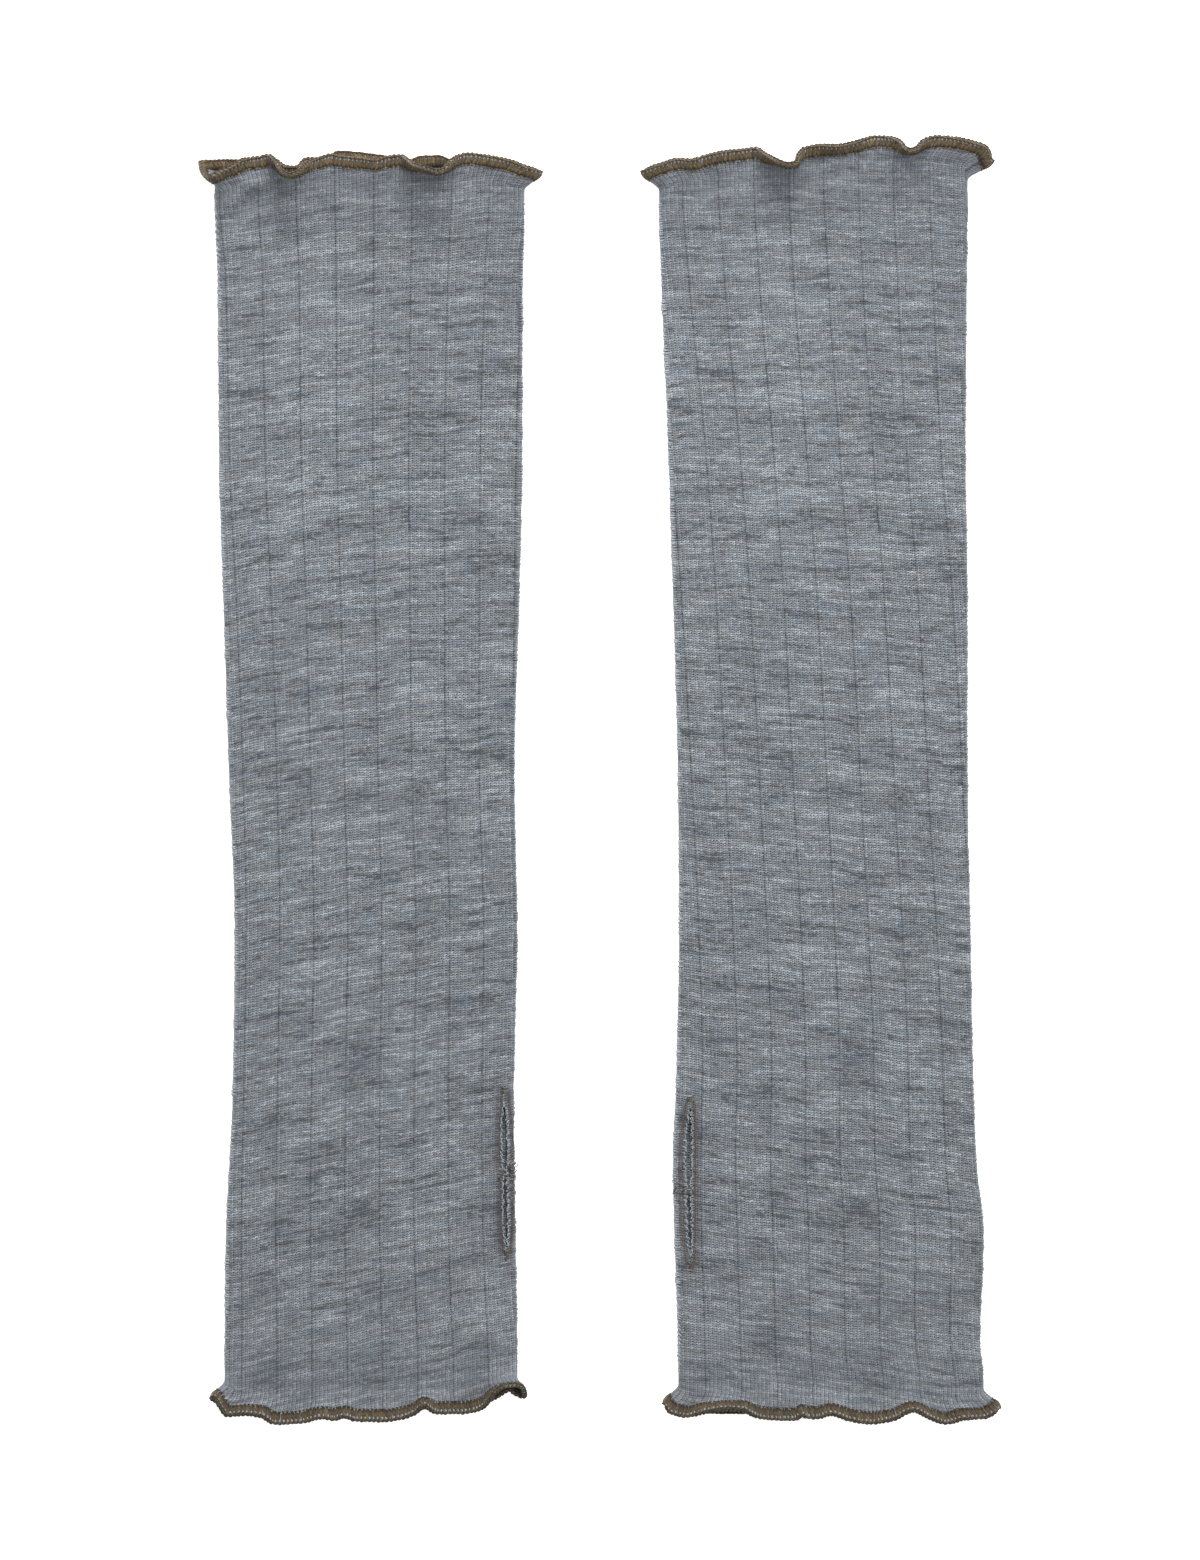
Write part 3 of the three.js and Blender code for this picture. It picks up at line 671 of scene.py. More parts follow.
def thread_material(name, dark, middle, pale, fineness):
    f = Finish(name)
    round_x, round_y, along = f.parts(f.node("Attribute", {"attribute_name": "strand"}, None, 1))
    strand = f.math("FLOOR", along / STRAND_ROOM)
    part = f.math("FRACT", along / STRAND_ROOM)
    own = f.chance(f.vector(strand, 3.0, 7.0))
    fibres = f.noise(f.vector(round_x * fineness, round_y * fineness, along * 1.2), 3.0, 0.65)
    twist = f.noise(f.vector(round_x, round_y, along * 2.0 + strand * 0.7), 2.0)
    # Each strand is painted darker towards its start, and a little towards its end: painted shade
    # where it sinks into the cloth. The overlock's crossing threads start at the needle line.
    ends_shade = f.between(abs(part - 0.62), 0.12, 0.5)
    tone = fibres * 0.95 + twist * 0.3 + own * 0.16 - ends_shade * 0.5 - 0.1
    # Painted shade: the hand's overlock, which carries this attribute, is made a little darker for
    # the dimmer light at that end.
    tone = tone - f.attribute("darker") * 0.08
    colour = f.mix(f.between(tone, 0.2, 0.55), dark, middle)
    colour = f.mix(f.between(tone, 0.5, 0.85), colour, pale)
    return f.finished({
        "Base Color": colour,
        "Roughness": f.between(fibres, 0.2, 0.8, 0.6, 0.9),
        "Normal": f.bump(fibres, 0.00014, 1.0),
        "Specular IOR Level": 0.3,
        "Sheen Weight": 0.2,
        "Sheen Roughness": 0.5,
        "Sheen Tint": paint(210, 190, 160),
    })


BROWN = thread_material(
    "brown overlock thread", paint(32, 27, 20), paint(70, 59, 42), paint(124, 105, 77), 3.4
)
SMOKE = thread_material(
    "smoky sewing thread", paint(46, 42, 40), paint(74, 68, 64), paint(118, 110, 103), 2.0
)
YARN = thread_material(
    "loose wool yarn", paint(98, 102, 108), paint(134, 140, 146), paint(172, 179, 185), 2.4
)
print("thread finishes:", [finish.name for finish in (BROWN, SMOKE, YARN)])

# %% [markdown]
# ## The tube
# A circular knitting machine makes this tube in one go, so it is one closed mesh: a grid of
# faces is rolled round the tube and its two long sides are merged. Its columns follow the
# ribs, with three close ones at each dropped needle, and crowd at the folds and the slit.
# A Solidify modifier gives the wall its thickness, also at the cut edges of the thumb slit.

# %% Where the grid has its columns, in ribs
def columns(warmer):
    """Columns are close at the dropped needles, where the folds can lie and at the slit."""
    near = [-GROOVE_HALF, 0, GROOVE_HALF, 0.14, 0.26, 0.38, 0.5, 0.62, 0.74, 0.86]
    apart = 0.025
    extra = [p for p in np.arange(0.08, 0.93, 0.06) if min(abs(p - n) for n in near) > apart]
    rolls = warmer["sections"]["roll"]
    least, most = rolls.min(), rolls.max()
    reach = 0.27
    first = -math.ceil(most)
    places = []
    for rib in range(first, first + RIBS):
        places += [rib + part for part in near]
        for place in (rib + part for part in extra):
            folds = [f - most - reach < place < f - least + reach for f in (0, RIBS / 2, RIBS)]
            if any(folds):
                places.append(place)
    slit, room = warmer["slit"]["rib"], 0.035
    beside = [slit + side * away for side in (-1, 1) for away in (0.02, 0.08, 0.15, 0.23, 0.32)]
    places = [p for p in places if min(abs(p - b) for b in beside) > room]
    places = sorted(places + beside)
    return np.array(places + [places[0] + RIBS])


# %% Where it has its rows, in millimetres along the warmer
def rows_along():
    """Rows are close in the ruffle and its fade, and the last one is the cut edge."""
    fine_from, fine, coarse = 150, 1.15, 2.45
    end = np.arange(fine_from, EDGE_LINE - 0.3, fine)
    middle = np.arange(1 - fine_from, fine_from - 0.9, coarse)
    return np.concatenate([-end[::-1], middle, end])


# %% A flat grid of those columns and rows
def grid(name, across, along):
    """The mesh, and which column and row each of its points belongs to."""
    bm = bmesh.new()
    bm.loops.layers.uv.new("knit")
    bmesh.ops.create_grid(bm, x_segments=across - 1, y_segments=along - 1, size=0.5, calc_uvs=True)
    mesh = bpy.data.meshes.new(name)
    bm.to_mesh(mesh)
    bm.free()
    co = np.zeros(len(mesh.vertices) * 3, np.float32)
    mesh.vertices.foreach_get("co", co)
    share = co.reshape(-1, 3)[:, :2] + 0.5
    column, row = np.rint(share * (across - 1, along - 1)).astype(int).T
    return mesh, column, row


def placed(mesh, points):
    mesh.vertices.foreach_set("co", (points * MM).astype(np.float32).ravel())
    mesh.update()


# %% The knit's own map: wales across, courses along
def course_lift(warmer, ribs, x, y):
    """How far the courses have slipped along the arm at a place across it."""
    lean = np.tan(np.radians(from_sections(warmer, "lean", y)))
    bow = np.tan(np.radians(from_sections(warmer, "bow", y)))
    half_width = 46
    angle = 2 * math.pi * ribs / RIBS
    wave = 0.2 * np.sin(7 * angle + y / 70) + 0.12 * np.sin(12 * angle - y / 45)
    return lean * x - bow * x * x / (2 * half_width) + wave


def map_knit(warmer, mesh, points, ribs, along):
    lift = course_lift(warmer, ribs, points[:, 0] - warmer["centre"][0], along)
    flat_along = np.clip(along, -HINGE, HINGE)
    flat_y = cloth(warmer, ribs, flat_along)[:, 1] - warmer["centre"][1]
    lift = lift - (flat_y - flat_along)
    which = np.zeros(len(mesh.loops), np.int32)
    mesh.loops.foreach_get("vertex_index", which)
    uv = np.stack([ribs * WALES, (along - lift) / COURSE], -1)[which]
    mesh.uv_layers["knit"].uv.foreach_set("vector", uv.astype(np.float32).ravel())


# %% Marks for the finishes: stretched near the ends, smoky beside the slit
def mark(mesh, name, values):
    layer = mesh.attributes.new(name, "FLOAT", "POINT")
    layer.data.foreach_set("value", values.astype(np.float32))


def mark_knit(warmer, mesh, ribs, along):
    """The overlock pulls on the last 25 mm, the slit on 5 mm beside it, and the smoky thread
    shines through 1.5 mm from the cut."""
    slit = warmer["slit"]
    from_cut = np.abs(ribs - slit["rib"]) / RIBS_PER_MM
    from_middle = np.abs(along - slit["y"])
    near_slit = np.exp(-((from_cut / 5) ** 2)) * (1 - smooth(20, 34, from_middle))
    pulled = 0.2 * smooth(110, 165, np.abs(along)) + 0.8 * smooth(170, 192, np.abs(along))
    mark(mesh, "stretch", np.maximum(pulled, 0.12 * near_slit))
    sewn = np.exp(-(((from_cut - 1.5) / 1.2) ** 2)) * (1 - smooth(24, 28, from_middle))
    mark(mesh, "smoky", np.maximum(sewn, 0.4 * near_slit**2))


# %% The slit is a row of missing faces, and the two long sides of the grid become one
def cut_and_close(warmer, mesh, ribs, along, on_sides):
    slit, half_face = warmer["slit"], 0.019

    def in_slit(face):
        points = [v.index for v in face.verts]
        aside, up = ribs[points].mean() - slit["rib"], along[points].mean() - slit["y"]
        return abs(aside) < half_face and abs(up) < SLIT_HALF

    bm = bmesh.new()
    bm.from_mesh(mesh)
    bm.verts.ensure_lookup_table()
    cut = [face for face in bm.faces if in_slit(face)]
    bmesh.ops.delete(bm, geom=cut, context="FACES")
    seam = [v for v in bm.verts if on_sides[v.index]]
    bmesh.ops.remove_doubles(bm, verts=seam, dist=1e-6)
    bm.to_mesh(mesh)
    bm.free()
    print(mesh.name, len(mesh.polygons), "faces,", len(cut), "cut for the slit")


# %% A finished piece rides on the one body
def make_object(name, mesh, material, slot, *nodes):
    mesh.materials.append(material)
    mesh.polygons.foreach_set("use_smooth", [True] * len(mesh.polygons))
    piece = bpy.data.objects.new(name, mesh)
    bpy.context.scene.collection.objects.link(piece)
    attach(piece, "root")
    if nodes:
        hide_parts(*nodes)
    return piece


# %% The two tubes
def tube(warmer):
    name = warmer["name"]
    ribs, along = columns(warmer), rows_along()
    mesh, column, row = grid(name + "_knit", len(ribs), len(along))
    at_rib, at_along = ribs[column], along[row]

    # Each point of the grid takes its place on the cloth, sunk where a needle was dropped.
    points = cloth(warmer, at_rib, at_along)
    out = outward(warmer, at_rib, at_along)
    on_line = np.abs(at_rib - np.rint(at_rib)) < GROOVE_HALF / 2
    sunk = GROOVE_DEPTH * on_line * smooth(-0.6, 0, out[:, 2])
    placed(mesh, points - out * sunk[:, None])
    map_knit(warmer, mesh, points, at_rib, at_along)
    mark_knit(warmer, mesh, at_rib, at_along)
    cut_and_close(warmer, mesh, at_rib, at_along, (column == 0) | (column == len(ribs) - 1))

    piece = make_object(name + "_knit", mesh, KNIT, "knit", name + "_tube")
    wall = piece.modifiers.new("wall", "SOLIDIFY")
    wall.thickness = CLOTH * MM
    wall.offset = 0
    wall.use_even_offset = False
    return piece


TUBES = {warmer["name"]: tube(warmer) for warmer in WARMERS}

# %% [markdown]
# ## Strands
# Every seam here is hundreds of short threads. One strand is a prism cut into rings. An
# array of places bends it into each stitch, and all the stitches of a seam are joined into
# one mesh, because thousands of separate objects would be slow and hard to handle.

# %% One strand
def prism(sides, rings):
    bm = bmesh.new()
    bmesh.ops.create_cone(
        bm, cap_ends=True, cap_tris=False, segments=sides, radius1=1, radius2=1, depth=1
    )
    long_edges = [e for e in bm.edges if abs(e.verts[0].co.z - e.verts[1].co.z) > 0.5]
    bmesh.ops.subdivide_edges(bm, edges=long_edges, cuts=rings - 2, use_grid_fill=True)
    bm.verts.index_update()
    points = np.array([v.co for v in bm.verts])
    faces = [[v.index for v in face.verts] for face in bm.faces]
    bm.free()
    return points, faces


# %% A strand for each stitch, bent into its place
def strands(centres, aside, half_width, half_height, sides):
    """centres is strand by ring by xyz in mm, aside the direction of a strand's width."""
    count, rings = centres.shape[:2]
    shape, shape_faces = prism(sides, rings)
    forward = unit(np.gradient(centres, axis=1))
    aside = np.broadcast_to(aside, centres.shape)
    aside = unit(aside - forward * (aside * forward).sum(-1, keepdims=True))
    up = np.cross(forward, aside)
    ring = np.rint((shape[:, 2] + 0.5) * (rings - 1)).astype(int)
    width = np.broadcast_to(half_width, (count, rings))[:, ring, None]
    height = np.broadcast_to(half_height, (count, rings))[:, ring, None]
    points = centres[:, ring]
    points = points + aside[:, ring] * width * shape[:, 0, None]
    points = points + up[:, ring] * height * shape[:, 1, None]
    place = np.zeros((count, len(shape), 3))
    place[:, :, :2] = shape[:, :2]
    margin = (STRAND_ROOM - STRAND_FILL) / 2
    place[:, :, 2] = STRAND_ROOM * np.arange(count)[:, None] + margin
    place[:, :, 2] += STRAND_FILL * (shape[:, 2] + 0.5)
    step = len(shape)
    faces = [[i + n * step for i in face] for n in range(count) for face in shape_faces]
    return points.reshape(-1, 3), place.reshape(-1, 3), faces


# %% Groups of strands, joined into one mesh
UP = np.array([0.0, 0.0, 1.0])


def join_strands(groups):
    """Points, strand places and faces of several groups of strands, as one set."""
    points, places, faces = [], [], []
    first = 0
    for group in groups:
        points.append(group[0])
        places.append(group[1] + np.array([0, 0, STRAND_ROOM * len(faces)]))
        faces += [[i + first for i in face] for face in group[2]]
        first += len(group[0])
    return np.concatenate(points), np.concatenate(places), faces


def loose_end(points, radius):
    """A thread that was left long, through a few points in mm."""
    t = np.linspace(0, len(points) - 1, 14)
    run = np.stack([curve(np.arange(len(points)), points[:, i], t) for i in range(3)], -1)
    return strands(run[None], UP, radius, radius, 5)


def strand_object(name, groups, material, slot, *nodes):
    points, places, faces = join_strands(groups)
    mesh = bpy.data.meshes.new(name)
    mesh.from_pydata((points * MM).tolist(), [], faces)
    layer = mesh.attributes.new("strand", "FLOAT_VECTOR", "POINT")
    layer.data.foreach_set("vector", places.astype(np.float32).ravel())
    mesh.update()
    print(name, sum(len(face) - 2 for face in faces), "triangles")
    return make_object(name, mesh, material, slot, *nodes)


# %% [markdown]
# ## The overlock
# Three threads make it. Two loopers carry soft brown thread across the edge, over and under,
# and lock in a row of small purls on its outer side. A needle thread holds both 4 mm in.
# Each stitch could be a copy of one model, but every one would then be alike, and the edge
# is too wavy for stiff copies. So the stitches are counted out evenly along the stretched
# edge, and every strand is bent over the cloth between the two ends of its own stitch.

# %% Stitches, counted out evenly along one edge
STITCH = 1.32
NEEDLE_LINE = EDGE_LINE - EDGING - 0.1
PURL_LINE = EDGE_LINE - 0.35


class Seam:
    """One edge. ribs says where each stitch begins, and step how many ribs it takes."""

    def __init__(self, warmer, side):
        self.warmer, self.side = warmer, side
        dense = np.linspace(0, RIBS, 4001)
        edge = cloth(warmer, dense, side * (EDGE_LINE - 1))
        run = np.append(0, np.cumsum(np.linalg.norm(np.diff(edge, axis=0), axis=1)))
        self.count = int(round(run[-1] / STITCH))
        self.pitch = run[-1] / self.count
        ends = np.interp(np.arange(self.count + 1) / self.count * run[-1], run, dense)
        self.ribs, self.step = ends[:-1], np.diff(ends)

    def follow(self, across, along, out):
        """Points on the cloth. across is in stitches, along in mm and out in mm."""
        place = self.ribs[:, None] + across * self.step[:, None]
        along = np.broadcast_to(along, place.shape)
        return on_cloth(self.warmer, place, self.side * along, np.broadcast_to(out, place.shape))

    def lay(self, across, along, out, half_width, half_height, sides):
        """A strand in each stitch, flat on the cloth."""
        centres = self.follow(across, along, out)
        aside = self.follow(across + 0.1, along, out) - centres
        return strands(centres, aside, half_width, half_height, sides)

    def run(self, across, along, out, line, half_width, half_height, sides):
        """A strand in each stitch that runs along the edge, at a line in mm."""
        up = outward(self.warmer, self.ribs, self.side * line)[:, None]
        return strands(self.follow(across, along, out), up, half_width, half_height, sides)


def over_edging(t):
    return NEEDLE_LINE + (PURL_LINE - NEEDLE_LINE) * t


# %% The crossing threads, on the outer face
def crossing_threads(seam, random):
    """They are soft, so they spread until they meet. A second one lies between each two, but
    it stops short of the purls, and that is where flecks of cloth show."""
    t = np.linspace(0, 1, 9)
    thick = np.array([0.12, 0.18, 0.24, 0.27, 0.26, 0.24, 0.2, 0.18, 0.16])
    lift = np.array([0.3, 0.4, 0.47, 0.5, 0.5, 0.49, 0.47, 0.46, 0.44])
    if seam.side > 0:
        first, stop = np.array([0.26, 0.3, 0.34, 0.36, 0.36, 0.34, 0.3, 0.27, 0.3]), 0.66
    else:
        first, stop = np.array([0.34, 0.28, 0.34, 0.38, 0.38, 0.34, 0.3, 0.26, 0.3]), 0.68
    second = 0.36 * np.sin(math.pi * np.linspace(0.16, 0.84, 9)) ** 0.6
    groups = []
    for spread, shift, end in ((first, 0.0, 1.0), (second, 0.5, stop)):
        wobble = random.normal(0, 0.06, (seam.count, 1))
        wobble = wobble + random.normal(0, 0.1, (seam.count, 1)) * t
        across = shift + 0.5 * (end * t) + wobble
        height = lift + random.uniform(-0.08, 0.06, (seam.count, 1))
        width = seam.pitch * spread * random.uniform(0.8, 1.15, (seam.count, 1))
        groups.append(seam.lay(across, over_edging(end * t), height, width, thick, 6))
    return groups


# %% On the inner face one wide thread a stitch is enough
def inner_threads(seam, random):
    t = np.linspace(0, 1, 6)
    across = 0.5 + 0.5 * t + random.normal(0, 0.05, (seam.count, 1))
    spread = seam.pitch * np.array([0.36, 0.56, 0.62, 0.56, 0.36, 0.3])
    return [seam.lay(across, over_edging(t), -0.48, spread, 0.22, 5)]


# %% The purls: a thick loop from each stitch to the next, on both faces and round the edge
def purls(seam, random):
    t = np.linspace(0, 1, 7)
    hump = np.sin(math.pi * t)
    groups = []
    for face, shift in ((1, 0.5), (-1, 1.0)):
        wobble = random.normal(0, 0.05, (seam.count, 1))
        reach = random.uniform(0.4, 0.62, (seam.count, 1))
        across = shift - 0.62 + 1.24 * t + wobble
        along, out = PURL_LINE - 0.42 + reach * hump, face * (0.4 + 0.22 * hump)
        groups.append(seam.run(across, along, out, PURL_LINE, 0.21, 0.24, 5))
    around = np.linspace(-1, 1, 7)
    across = 0.9 + random.normal(0, 0.06, (seam.count, 1)) + 0.25 * around
    bulge = 0.44 * np.sqrt(1 - 0.9 * around**2)
    centres = seam.follow(across, PURL_LINE - 0.36 + bulge, 0.52 * around)
    aside = seam.follow(across + 0.1, PURL_LINE, 0.5 * around)
    aside = aside - seam.follow(across, PURL_LINE, 0.5 * around)
    return groups + [strands(centres, aside, 0.3, 0.16, 5)]


# %% The needle thread dips into the cloth between stitches
def needle_thread(seam, random):
    t = np.linspace(0, 1, 5)
    across = 0.2 + 0.7 * t + random.normal(0, 0.03, (seam.count, 1))
    out = 0.42 + 0.24 * np.sin(math.pi * t)
    return [seam.run(across, NEEDLE_LINE + 0.02, out, NEEDLE_LINE, 0.17, 0.2, 4)]


# %% The cloth bulges between the threads, as pale flecks near the edge
def flecks(seam, random):
    t = np.linspace(0.64, 0.92, 4)
    across = 0.5 + 0.5 * t + random.normal(0, 0.05, (seam.count, 1))
    height = 0.42 + 0.16 * np.sin(math.pi * np.linspace(0.1, 0.9, 4))
    height = height + random.uniform(-0.1, 0.05, (seam.count, 1))
    width = random.uniform(0.5, 1.1, (seam.count, 1)) * np.array([0.14, 0.25, 0.25, 0.14])
    return [seam.lay(across, over_edging(t), height, width, 0.16, 5)]


# %% The four overlocked edges
def overlock(warmer, side, random):
    seam = Seam(warmer, side)
    name = f"{warmer['name']}_{'elbow' if side > 0 else 'hand'}"
    print(name, seam.count, "stitches of", round(seam.pitch, 2), "mm")
    groups = crossing_threads(seam, random) + inner_threads(seam, random)
    groups = groups + purls(seam, random) + needle_thread(seam, random)
    sewn = strand_object(name + "_overlock", groups, BROWN, "edging", name + "_edging")
    # The hand's overlock is marked for a little painted shade, for the dimmer light at that end.
    mark(sewn.data, "darker", np.full(len(sewn.data.vertices), side < 0))
    return sewn, strand_object(name + "_flecks", flecks(seam, random), YARN, "knit")


random = np.random.default_rng(7)
OVERLOCKS = {
    warmer["name"]: [piece for side in (1, -1) for piece in overlock(warmer, side, random)]
    for warmer in WARMERS
}

# %% [markdown]
# ## The thumb slit
# The slit is made like a long buttonhole: two rows of narrow zigzag in thin smoky thread, a
# bar across each end, and a cut between them. The cut edges fray into small pale loops. A
# tack crosses the slit about half way along, and its thread ends were left long. Bump alone
# would leave the two lips smooth from the side, so every stitch and loop is a strand.

# %% Points beside the slit
THREAD = 0.1
BAR_THREAD = 0.12


def beside_slit(warmer, away, up, out):
    """away is mm from the cut, up mm along it from its middle, out mm above the cloth."""
    slit = warmer["slit"]
    ribs = slit["rib"] + RIBS_PER_MM * np.asarray(away, float)
    return on_cloth(warmer, ribs, slit["y"] + up, out)


# %% A row of zigzag, which draws in towards its two ends
def zigzag(warmer, random, away):
    start, end, half, pitch, to_point = -25.5, 25.6, 0.3, 0.38, 27
    count = int((end - start) / pitch)
    turns = start + pitch * np.arange(count + 1)
    sway = np.where(np.arange(count + 1) % 2, half, -half) + random.normal(0, 0.13, count + 1)
    t = np.linspace(0, 1, 4)
    up = turns[:-1, None] * (1 - t) + turns[1:, None] * t
    bow = 0.3 + 0.7 * np.sqrt(1 - (up / to_point) ** 2)
    across = away * bow + sway[:-1, None] * (1 - t) + sway[1:, None] * t
    out = 0.46 + 0.12 * np.sin(math.pi * t) + 0 * across
    return strands(beside_slit(warmer, across, up, out), UP, THREAD, THREAD, 4)


# %% A bar across one end
def bar(warmer, random, away, up, half_width, height, count):
    t = np.linspace(-1, 1, 6)
    rise = up + height * random.uniform(-0.5, 0.5, (count, 1))
    rise = rise + 0.3 * random.normal(0, 1, (count, 1)) * t
    across = away + half_width * t * random.uniform(0.5, 1.05, (count, 1))
    out = 0.4 + 0.3 * np.sqrt(1 - 0.8 * t**2) * random.uniform(0.4, 1.1, (count, 1))
    return strands(beside_slit(warmer, across, rise, out), UP, BAR_THREAD, BAR_THREAD, 4)


# %% The frayed loops of one lip
def frayed(warmer, random, lip):
    """lip is how far the loops' feet lie from the cut, with the sign of their side."""
    start, end, pitch, to_point = -22.5, 22.5, 0.7, 26
    count = int((end - start) / pitch)
    side, lip = np.sign(lip), abs(lip)
    t = np.linspace(0, 1, 7)
    hump = np.sin(math.pi * t)
    middle = start + pitch * (np.arange(count)[:, None] + random.normal(0, 0.25, (count, 1)))
    reach = random.uniform(-0.6, 0.15, (count, 1))
    up = middle + pitch * random.uniform(0.3, 0.9, (count, 1)) * -np.cos(math.pi * t)
    foot = lip * random.uniform(0.6, 1.0, (count, 1)) * np.sqrt(1 - (middle / to_point) ** 2)
    away = side * np.maximum(foot - (foot + reach) * hump, 0.02)
    out = 0.42 + random.uniform(0.1, 0.8, (count, 1)) * hump
    centres = beside_slit(warmer, away, up, out)
    centres[:, :, 0] -= side * np.maximum(reach, 0) * hump**2
    return strands(centres, UP, random.uniform(0.13, 0.25, (count, 1)), 0.16, 5)


# %% The tack
def tangle(warmer, random, away, up, half_width, half_height, count):
    """Short ends and loops of a tack that was sewn over and over in one place."""
    t = np.linspace(0, 1, 7)
    start = away + random.uniform(-half_width, half_width, (count, 1))
    turn = random.uniform(0, 2 * math.pi, (count, 1)) + random.uniform(-3.5, 3.5, (count, 1)) * t
    length = random.uniform(0.5, 1.6, (count, 1)) * t
    across = np.clip(start + length * np.cos(turn), away - half_width, away + half_width)
    rise = up + random.uniform(-half_height, half_height, (count, 1)) + length * np.sin(turn)
    rise = np.clip(rise, up - half_height, up + half_height)
    out = 0.42 + random.uniform(0.1, 0.9, (count, 1)) * np.sin(math.pi * t)
    return strands(beside_slit(warmer, across, rise, out), UP, BAR_THREAD, BAR_THREAD, 4)


# %% The stitching of each slit
def thumb(warmer, random, beside, knot, tails):
    """beside is where the two rows lie, mm from the cut. knot is the tack's place from the
    middle of the slit, and its half width and half height. tails are its thread ends."""
    name = warmer["name"]
    rows = [zigzag(warmer, random, away) for away in beside]
    middle = sum(beside) * 0.15
    bars = [
        bar(warmer, random, middle, up=25.8, half_width=1.2, height=2.2, count=11),
        bar(warmer, random, middle + 0.1, up=-26.0, half_width=1.0, height=2.6, count=10),
    ]
    knots = [tangle(warmer, random, *knot, count=30)]
    centre = cloth(warmer, warmer["slit"]["rib"], warmer["slit"]["y"])
    ends = [loose_end(centre + np.array(tail), radius=0.2) for tail in tails]
    sewn = strand_object(
        name + "_thumb_stitching", rows + bars + knots + ends, SMOKE, "binding",
        name + "_thumb_binding",
    )
    lips = [0.7 * away for away in beside]
    edges = [frayed(warmer, random, lip) for lip in lips]
    edges.append(tangle(warmer, random, *knot, count=20))
    raw = strand_object(name + "_thumb_edge", edges, YARN, "knit")
    return sewn, raw


THUMBS = {
    "left": thumb(
        LEFT, random, beside=(-1.2, 2.3), knot=(0.6, 0.8, 2.2, 2.8),
        tails=[
            [(1.0, 1.2, 1.4), (2.6, 2.2, 1.7), (3.4, 1.9, 1.2), (4.4, 3.0, 0.9)],
            [(1.4, 0.4, 1.3), (2.8, 0.2, 1.6), (3.9, 1.0, 1.2)],
        ],
    ),
    "right": thumb(
        RIGHT, random, beside=(-2.4, 1.5), knot=(-1.6, -3.0, 2.7, 0.7),
        tails=[
            [(-2.4, -1.0, 1.3), (-3.8, -0.2, 1.5), (-4.6, 0.6, 1.1), (-5.4, 0.2, 0.8)],
            [(-1.0, -1.6, 1.4), (-3.0, -1.9, 1.5), (-4.2, -1.3, 1.0)],
        ],
    ),
}

# %% [markdown]
# ## Fuzz
# Wool is hairy. Fine fibres stand off the cloth everywhere. At the side folds the cloth is
# seen edge on, so each course shows there as a small bump. One short strand bent round the
# fold for each course makes the bumps. Displaced cloth would need far more faces for them.

# %% Fibres on the cloth
FIBRES = 5200


def fuzz(warmer, random, count):
    ribs = random.uniform(0, RIBS, (count, 1))
    along = random.uniform(-188, 188, (count, 1))
    t = np.linspace(0, 1, 3)
    run = random.uniform(0.8, 2.4, (count, 1))
    way = random.uniform(0, 2 * math.pi, (count, 1))
    bend = random.normal(0, 0.9, (count, 1))
    turned = way + bend * t
    away = run * np.cumsum(np.cos(turned), axis=1) / 3
    up = run * np.cumsum(np.sin(turned), axis=1) / 3
    rise = 0.42 + random.uniform(0.25, 0.75, (count, 1)) * t * (2 - t)
    centres = on_cloth(warmer, ribs + RIBS_PER_MM * away, along + up, rise)
    floor_line, fibre = 0.05, 0.026
    centres[:, :, 2] = np.maximum(centres[:, :, 2], floor_line)
    group = strands(centres, UP, fibre, fibre, 3)
    return strand_object(warmer["name"] + "_fuzz", [group], YARN, "knit")


# %% Courses on the side folds
def ribs_at(warmer, turn, along):
    """Which rib lies at a share of the way round, by turning the cloth formula round."""
    spread = from_sections(warmer, "spread", along)
    even = np.full(along.shape, float(turn))
    for _ in range(6):
        even = turn + spread * np.cos(2 * math.pi * even) / (2 * math.pi)
    return even * RIBS - from_sections(warmer, "roll", along)


def fold_courses(warmer, random):
    along = np.arange(-183, 183, COURSE)
    left_fold, right_fold = 0.0, 0.5
    groups = []
    for turn in (left_fold, right_fold):
        ribs = ribs_at(warmer, turn, along)[:, None]
        t = np.linspace(-1, 1, 5)
        rough = np.convolve(random.normal(0, 1, len(along) + 8), np.hanning(9) / 4, "same")[4:-4]
        out = 0.47 + 0.22 * rough[:, None] + random.uniform(-0.14, 0.14, (len(along), 1))
        sway = random.normal(0, 0.1, (len(along), 1))
        centres = on_cloth(warmer, ribs + 0.16 * t, along[:, None] + sway, out - 0.12 * t**2)
        width = COURSE * 0.52 * np.array([0.4, 0.85, 1.0, 0.85, 0.4])
        groups.append(strands(centres, np.array([0.0, 1.0, 0.0]), width, 0.25, 5))
    return strand_object(warmer["name"] + "_fold_courses", groups, YARN, "knit")


FUZZ = {
    warmer["name"]: [fuzz(warmer, random, FIBRES), fold_courses(warmer, random)]
    for warmer in WARMERS
}
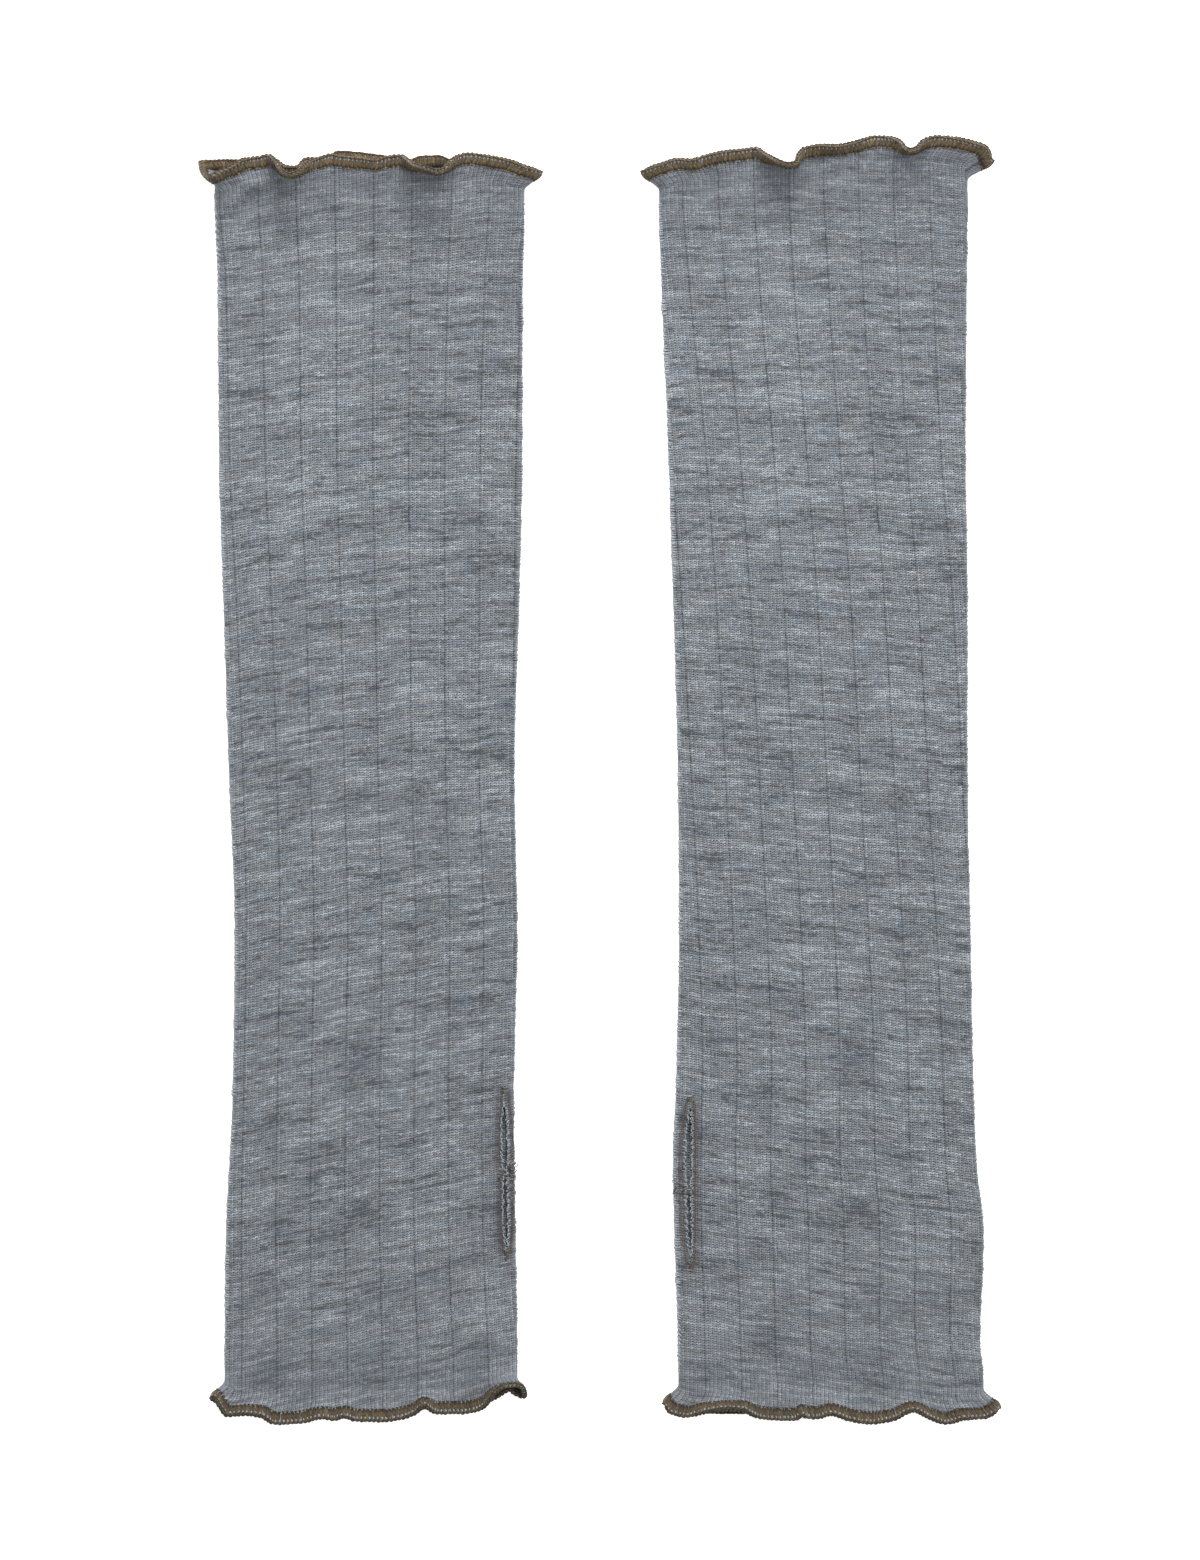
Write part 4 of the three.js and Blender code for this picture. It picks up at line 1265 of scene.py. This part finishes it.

# %% [markdown]
# ## The cloth on the table
# What is sewn on goes with its tube. Nothing holds the tubes up: they are laid on the table.

# %% [markdown]
# ## The studio
# The pair lies on a glowing white table under broad soft light, seen from straight above
# through a long lens, so that nothing leans. The table's glow keeps it free of shadows.

# %% The white table
def floor_material():
    f = Finish("white light table")
    place = f.node("TexCoord", None, None, 3)
    grain = f.noise(f.scaled(place, (0.05, 0.05, 0.05)), 3.0)
    return f.finished({
        "Base Color": f.mix(grain, paint(247, 247, 247), paint(250, 250, 250)),
        "Roughness": 0.9,
        "Specular IOR Level": 0.1,
        "Emission Color": paint(255, 255, 255),
        "Emission Strength": 0.7,
    })


def table_top():
    bm = bmesh.new()
    bmesh.ops.create_grid(bm, x_segments=1, y_segments=1, size=4.0)
    mesh = bpy.data.meshes.new("table_top")
    bm.to_mesh(mesh)
    bm.free()
    mesh.materials.append(floor_material())
    top = bpy.data.objects.new("table_top", mesh)
    bpy.context.scene.collection.objects.link(top)


# %% The light of the room and two lamps
def lights():
    world = bpy.data.worlds.new("soft room")
    bpy.context.scene.world = world
    world.use_nodes = True
    background = world.node_tree.nodes["Background"]
    background.inputs["Color"].default_value = (1, 1, 1, 1)
    background.inputs["Strength"].default_value = 0.43
    for name, place, size, power in (
        ("window", (0.15, 1.25, 1.05), 0.9, 34),
        ("overhead", (0.5, 0.2, 2.2), 1.2, 25),
    ):
        lamp = bpy.data.lights.new(name, "AREA")
        lamp.size = size
        lamp.energy = power
        light = bpy.data.objects.new(name, lamp)
        light.location = place
        light.rotation_euler = (-Vector(place)).to_track_quat("-Z", "Y").to_euler()
        bpy.context.scene.collection.objects.link(light)


# %% The camera, which has to see a little more than the length of the pair
def camera():
    lens = bpy.data.cameras.new("overhead camera")
    distance, view_height, sensor = 2.4, 0.4914, 36
    lens.sensor_width = sensor
    lens.lens = sensor * distance / view_height
    lens.clip_end = 20
    seen = bpy.data.objects.new("overhead camera", lens)
    seen.location = (0, 0, distance)
    bpy.context.scene.collection.objects.link(seen)
    bpy.context.scene.camera = seen
    print("lens:", round(lens.lens), "mm at", distance, "m")


table_top()
lights()
camera()
bpy.context.scene.view_settings.view_transform = "Standard"
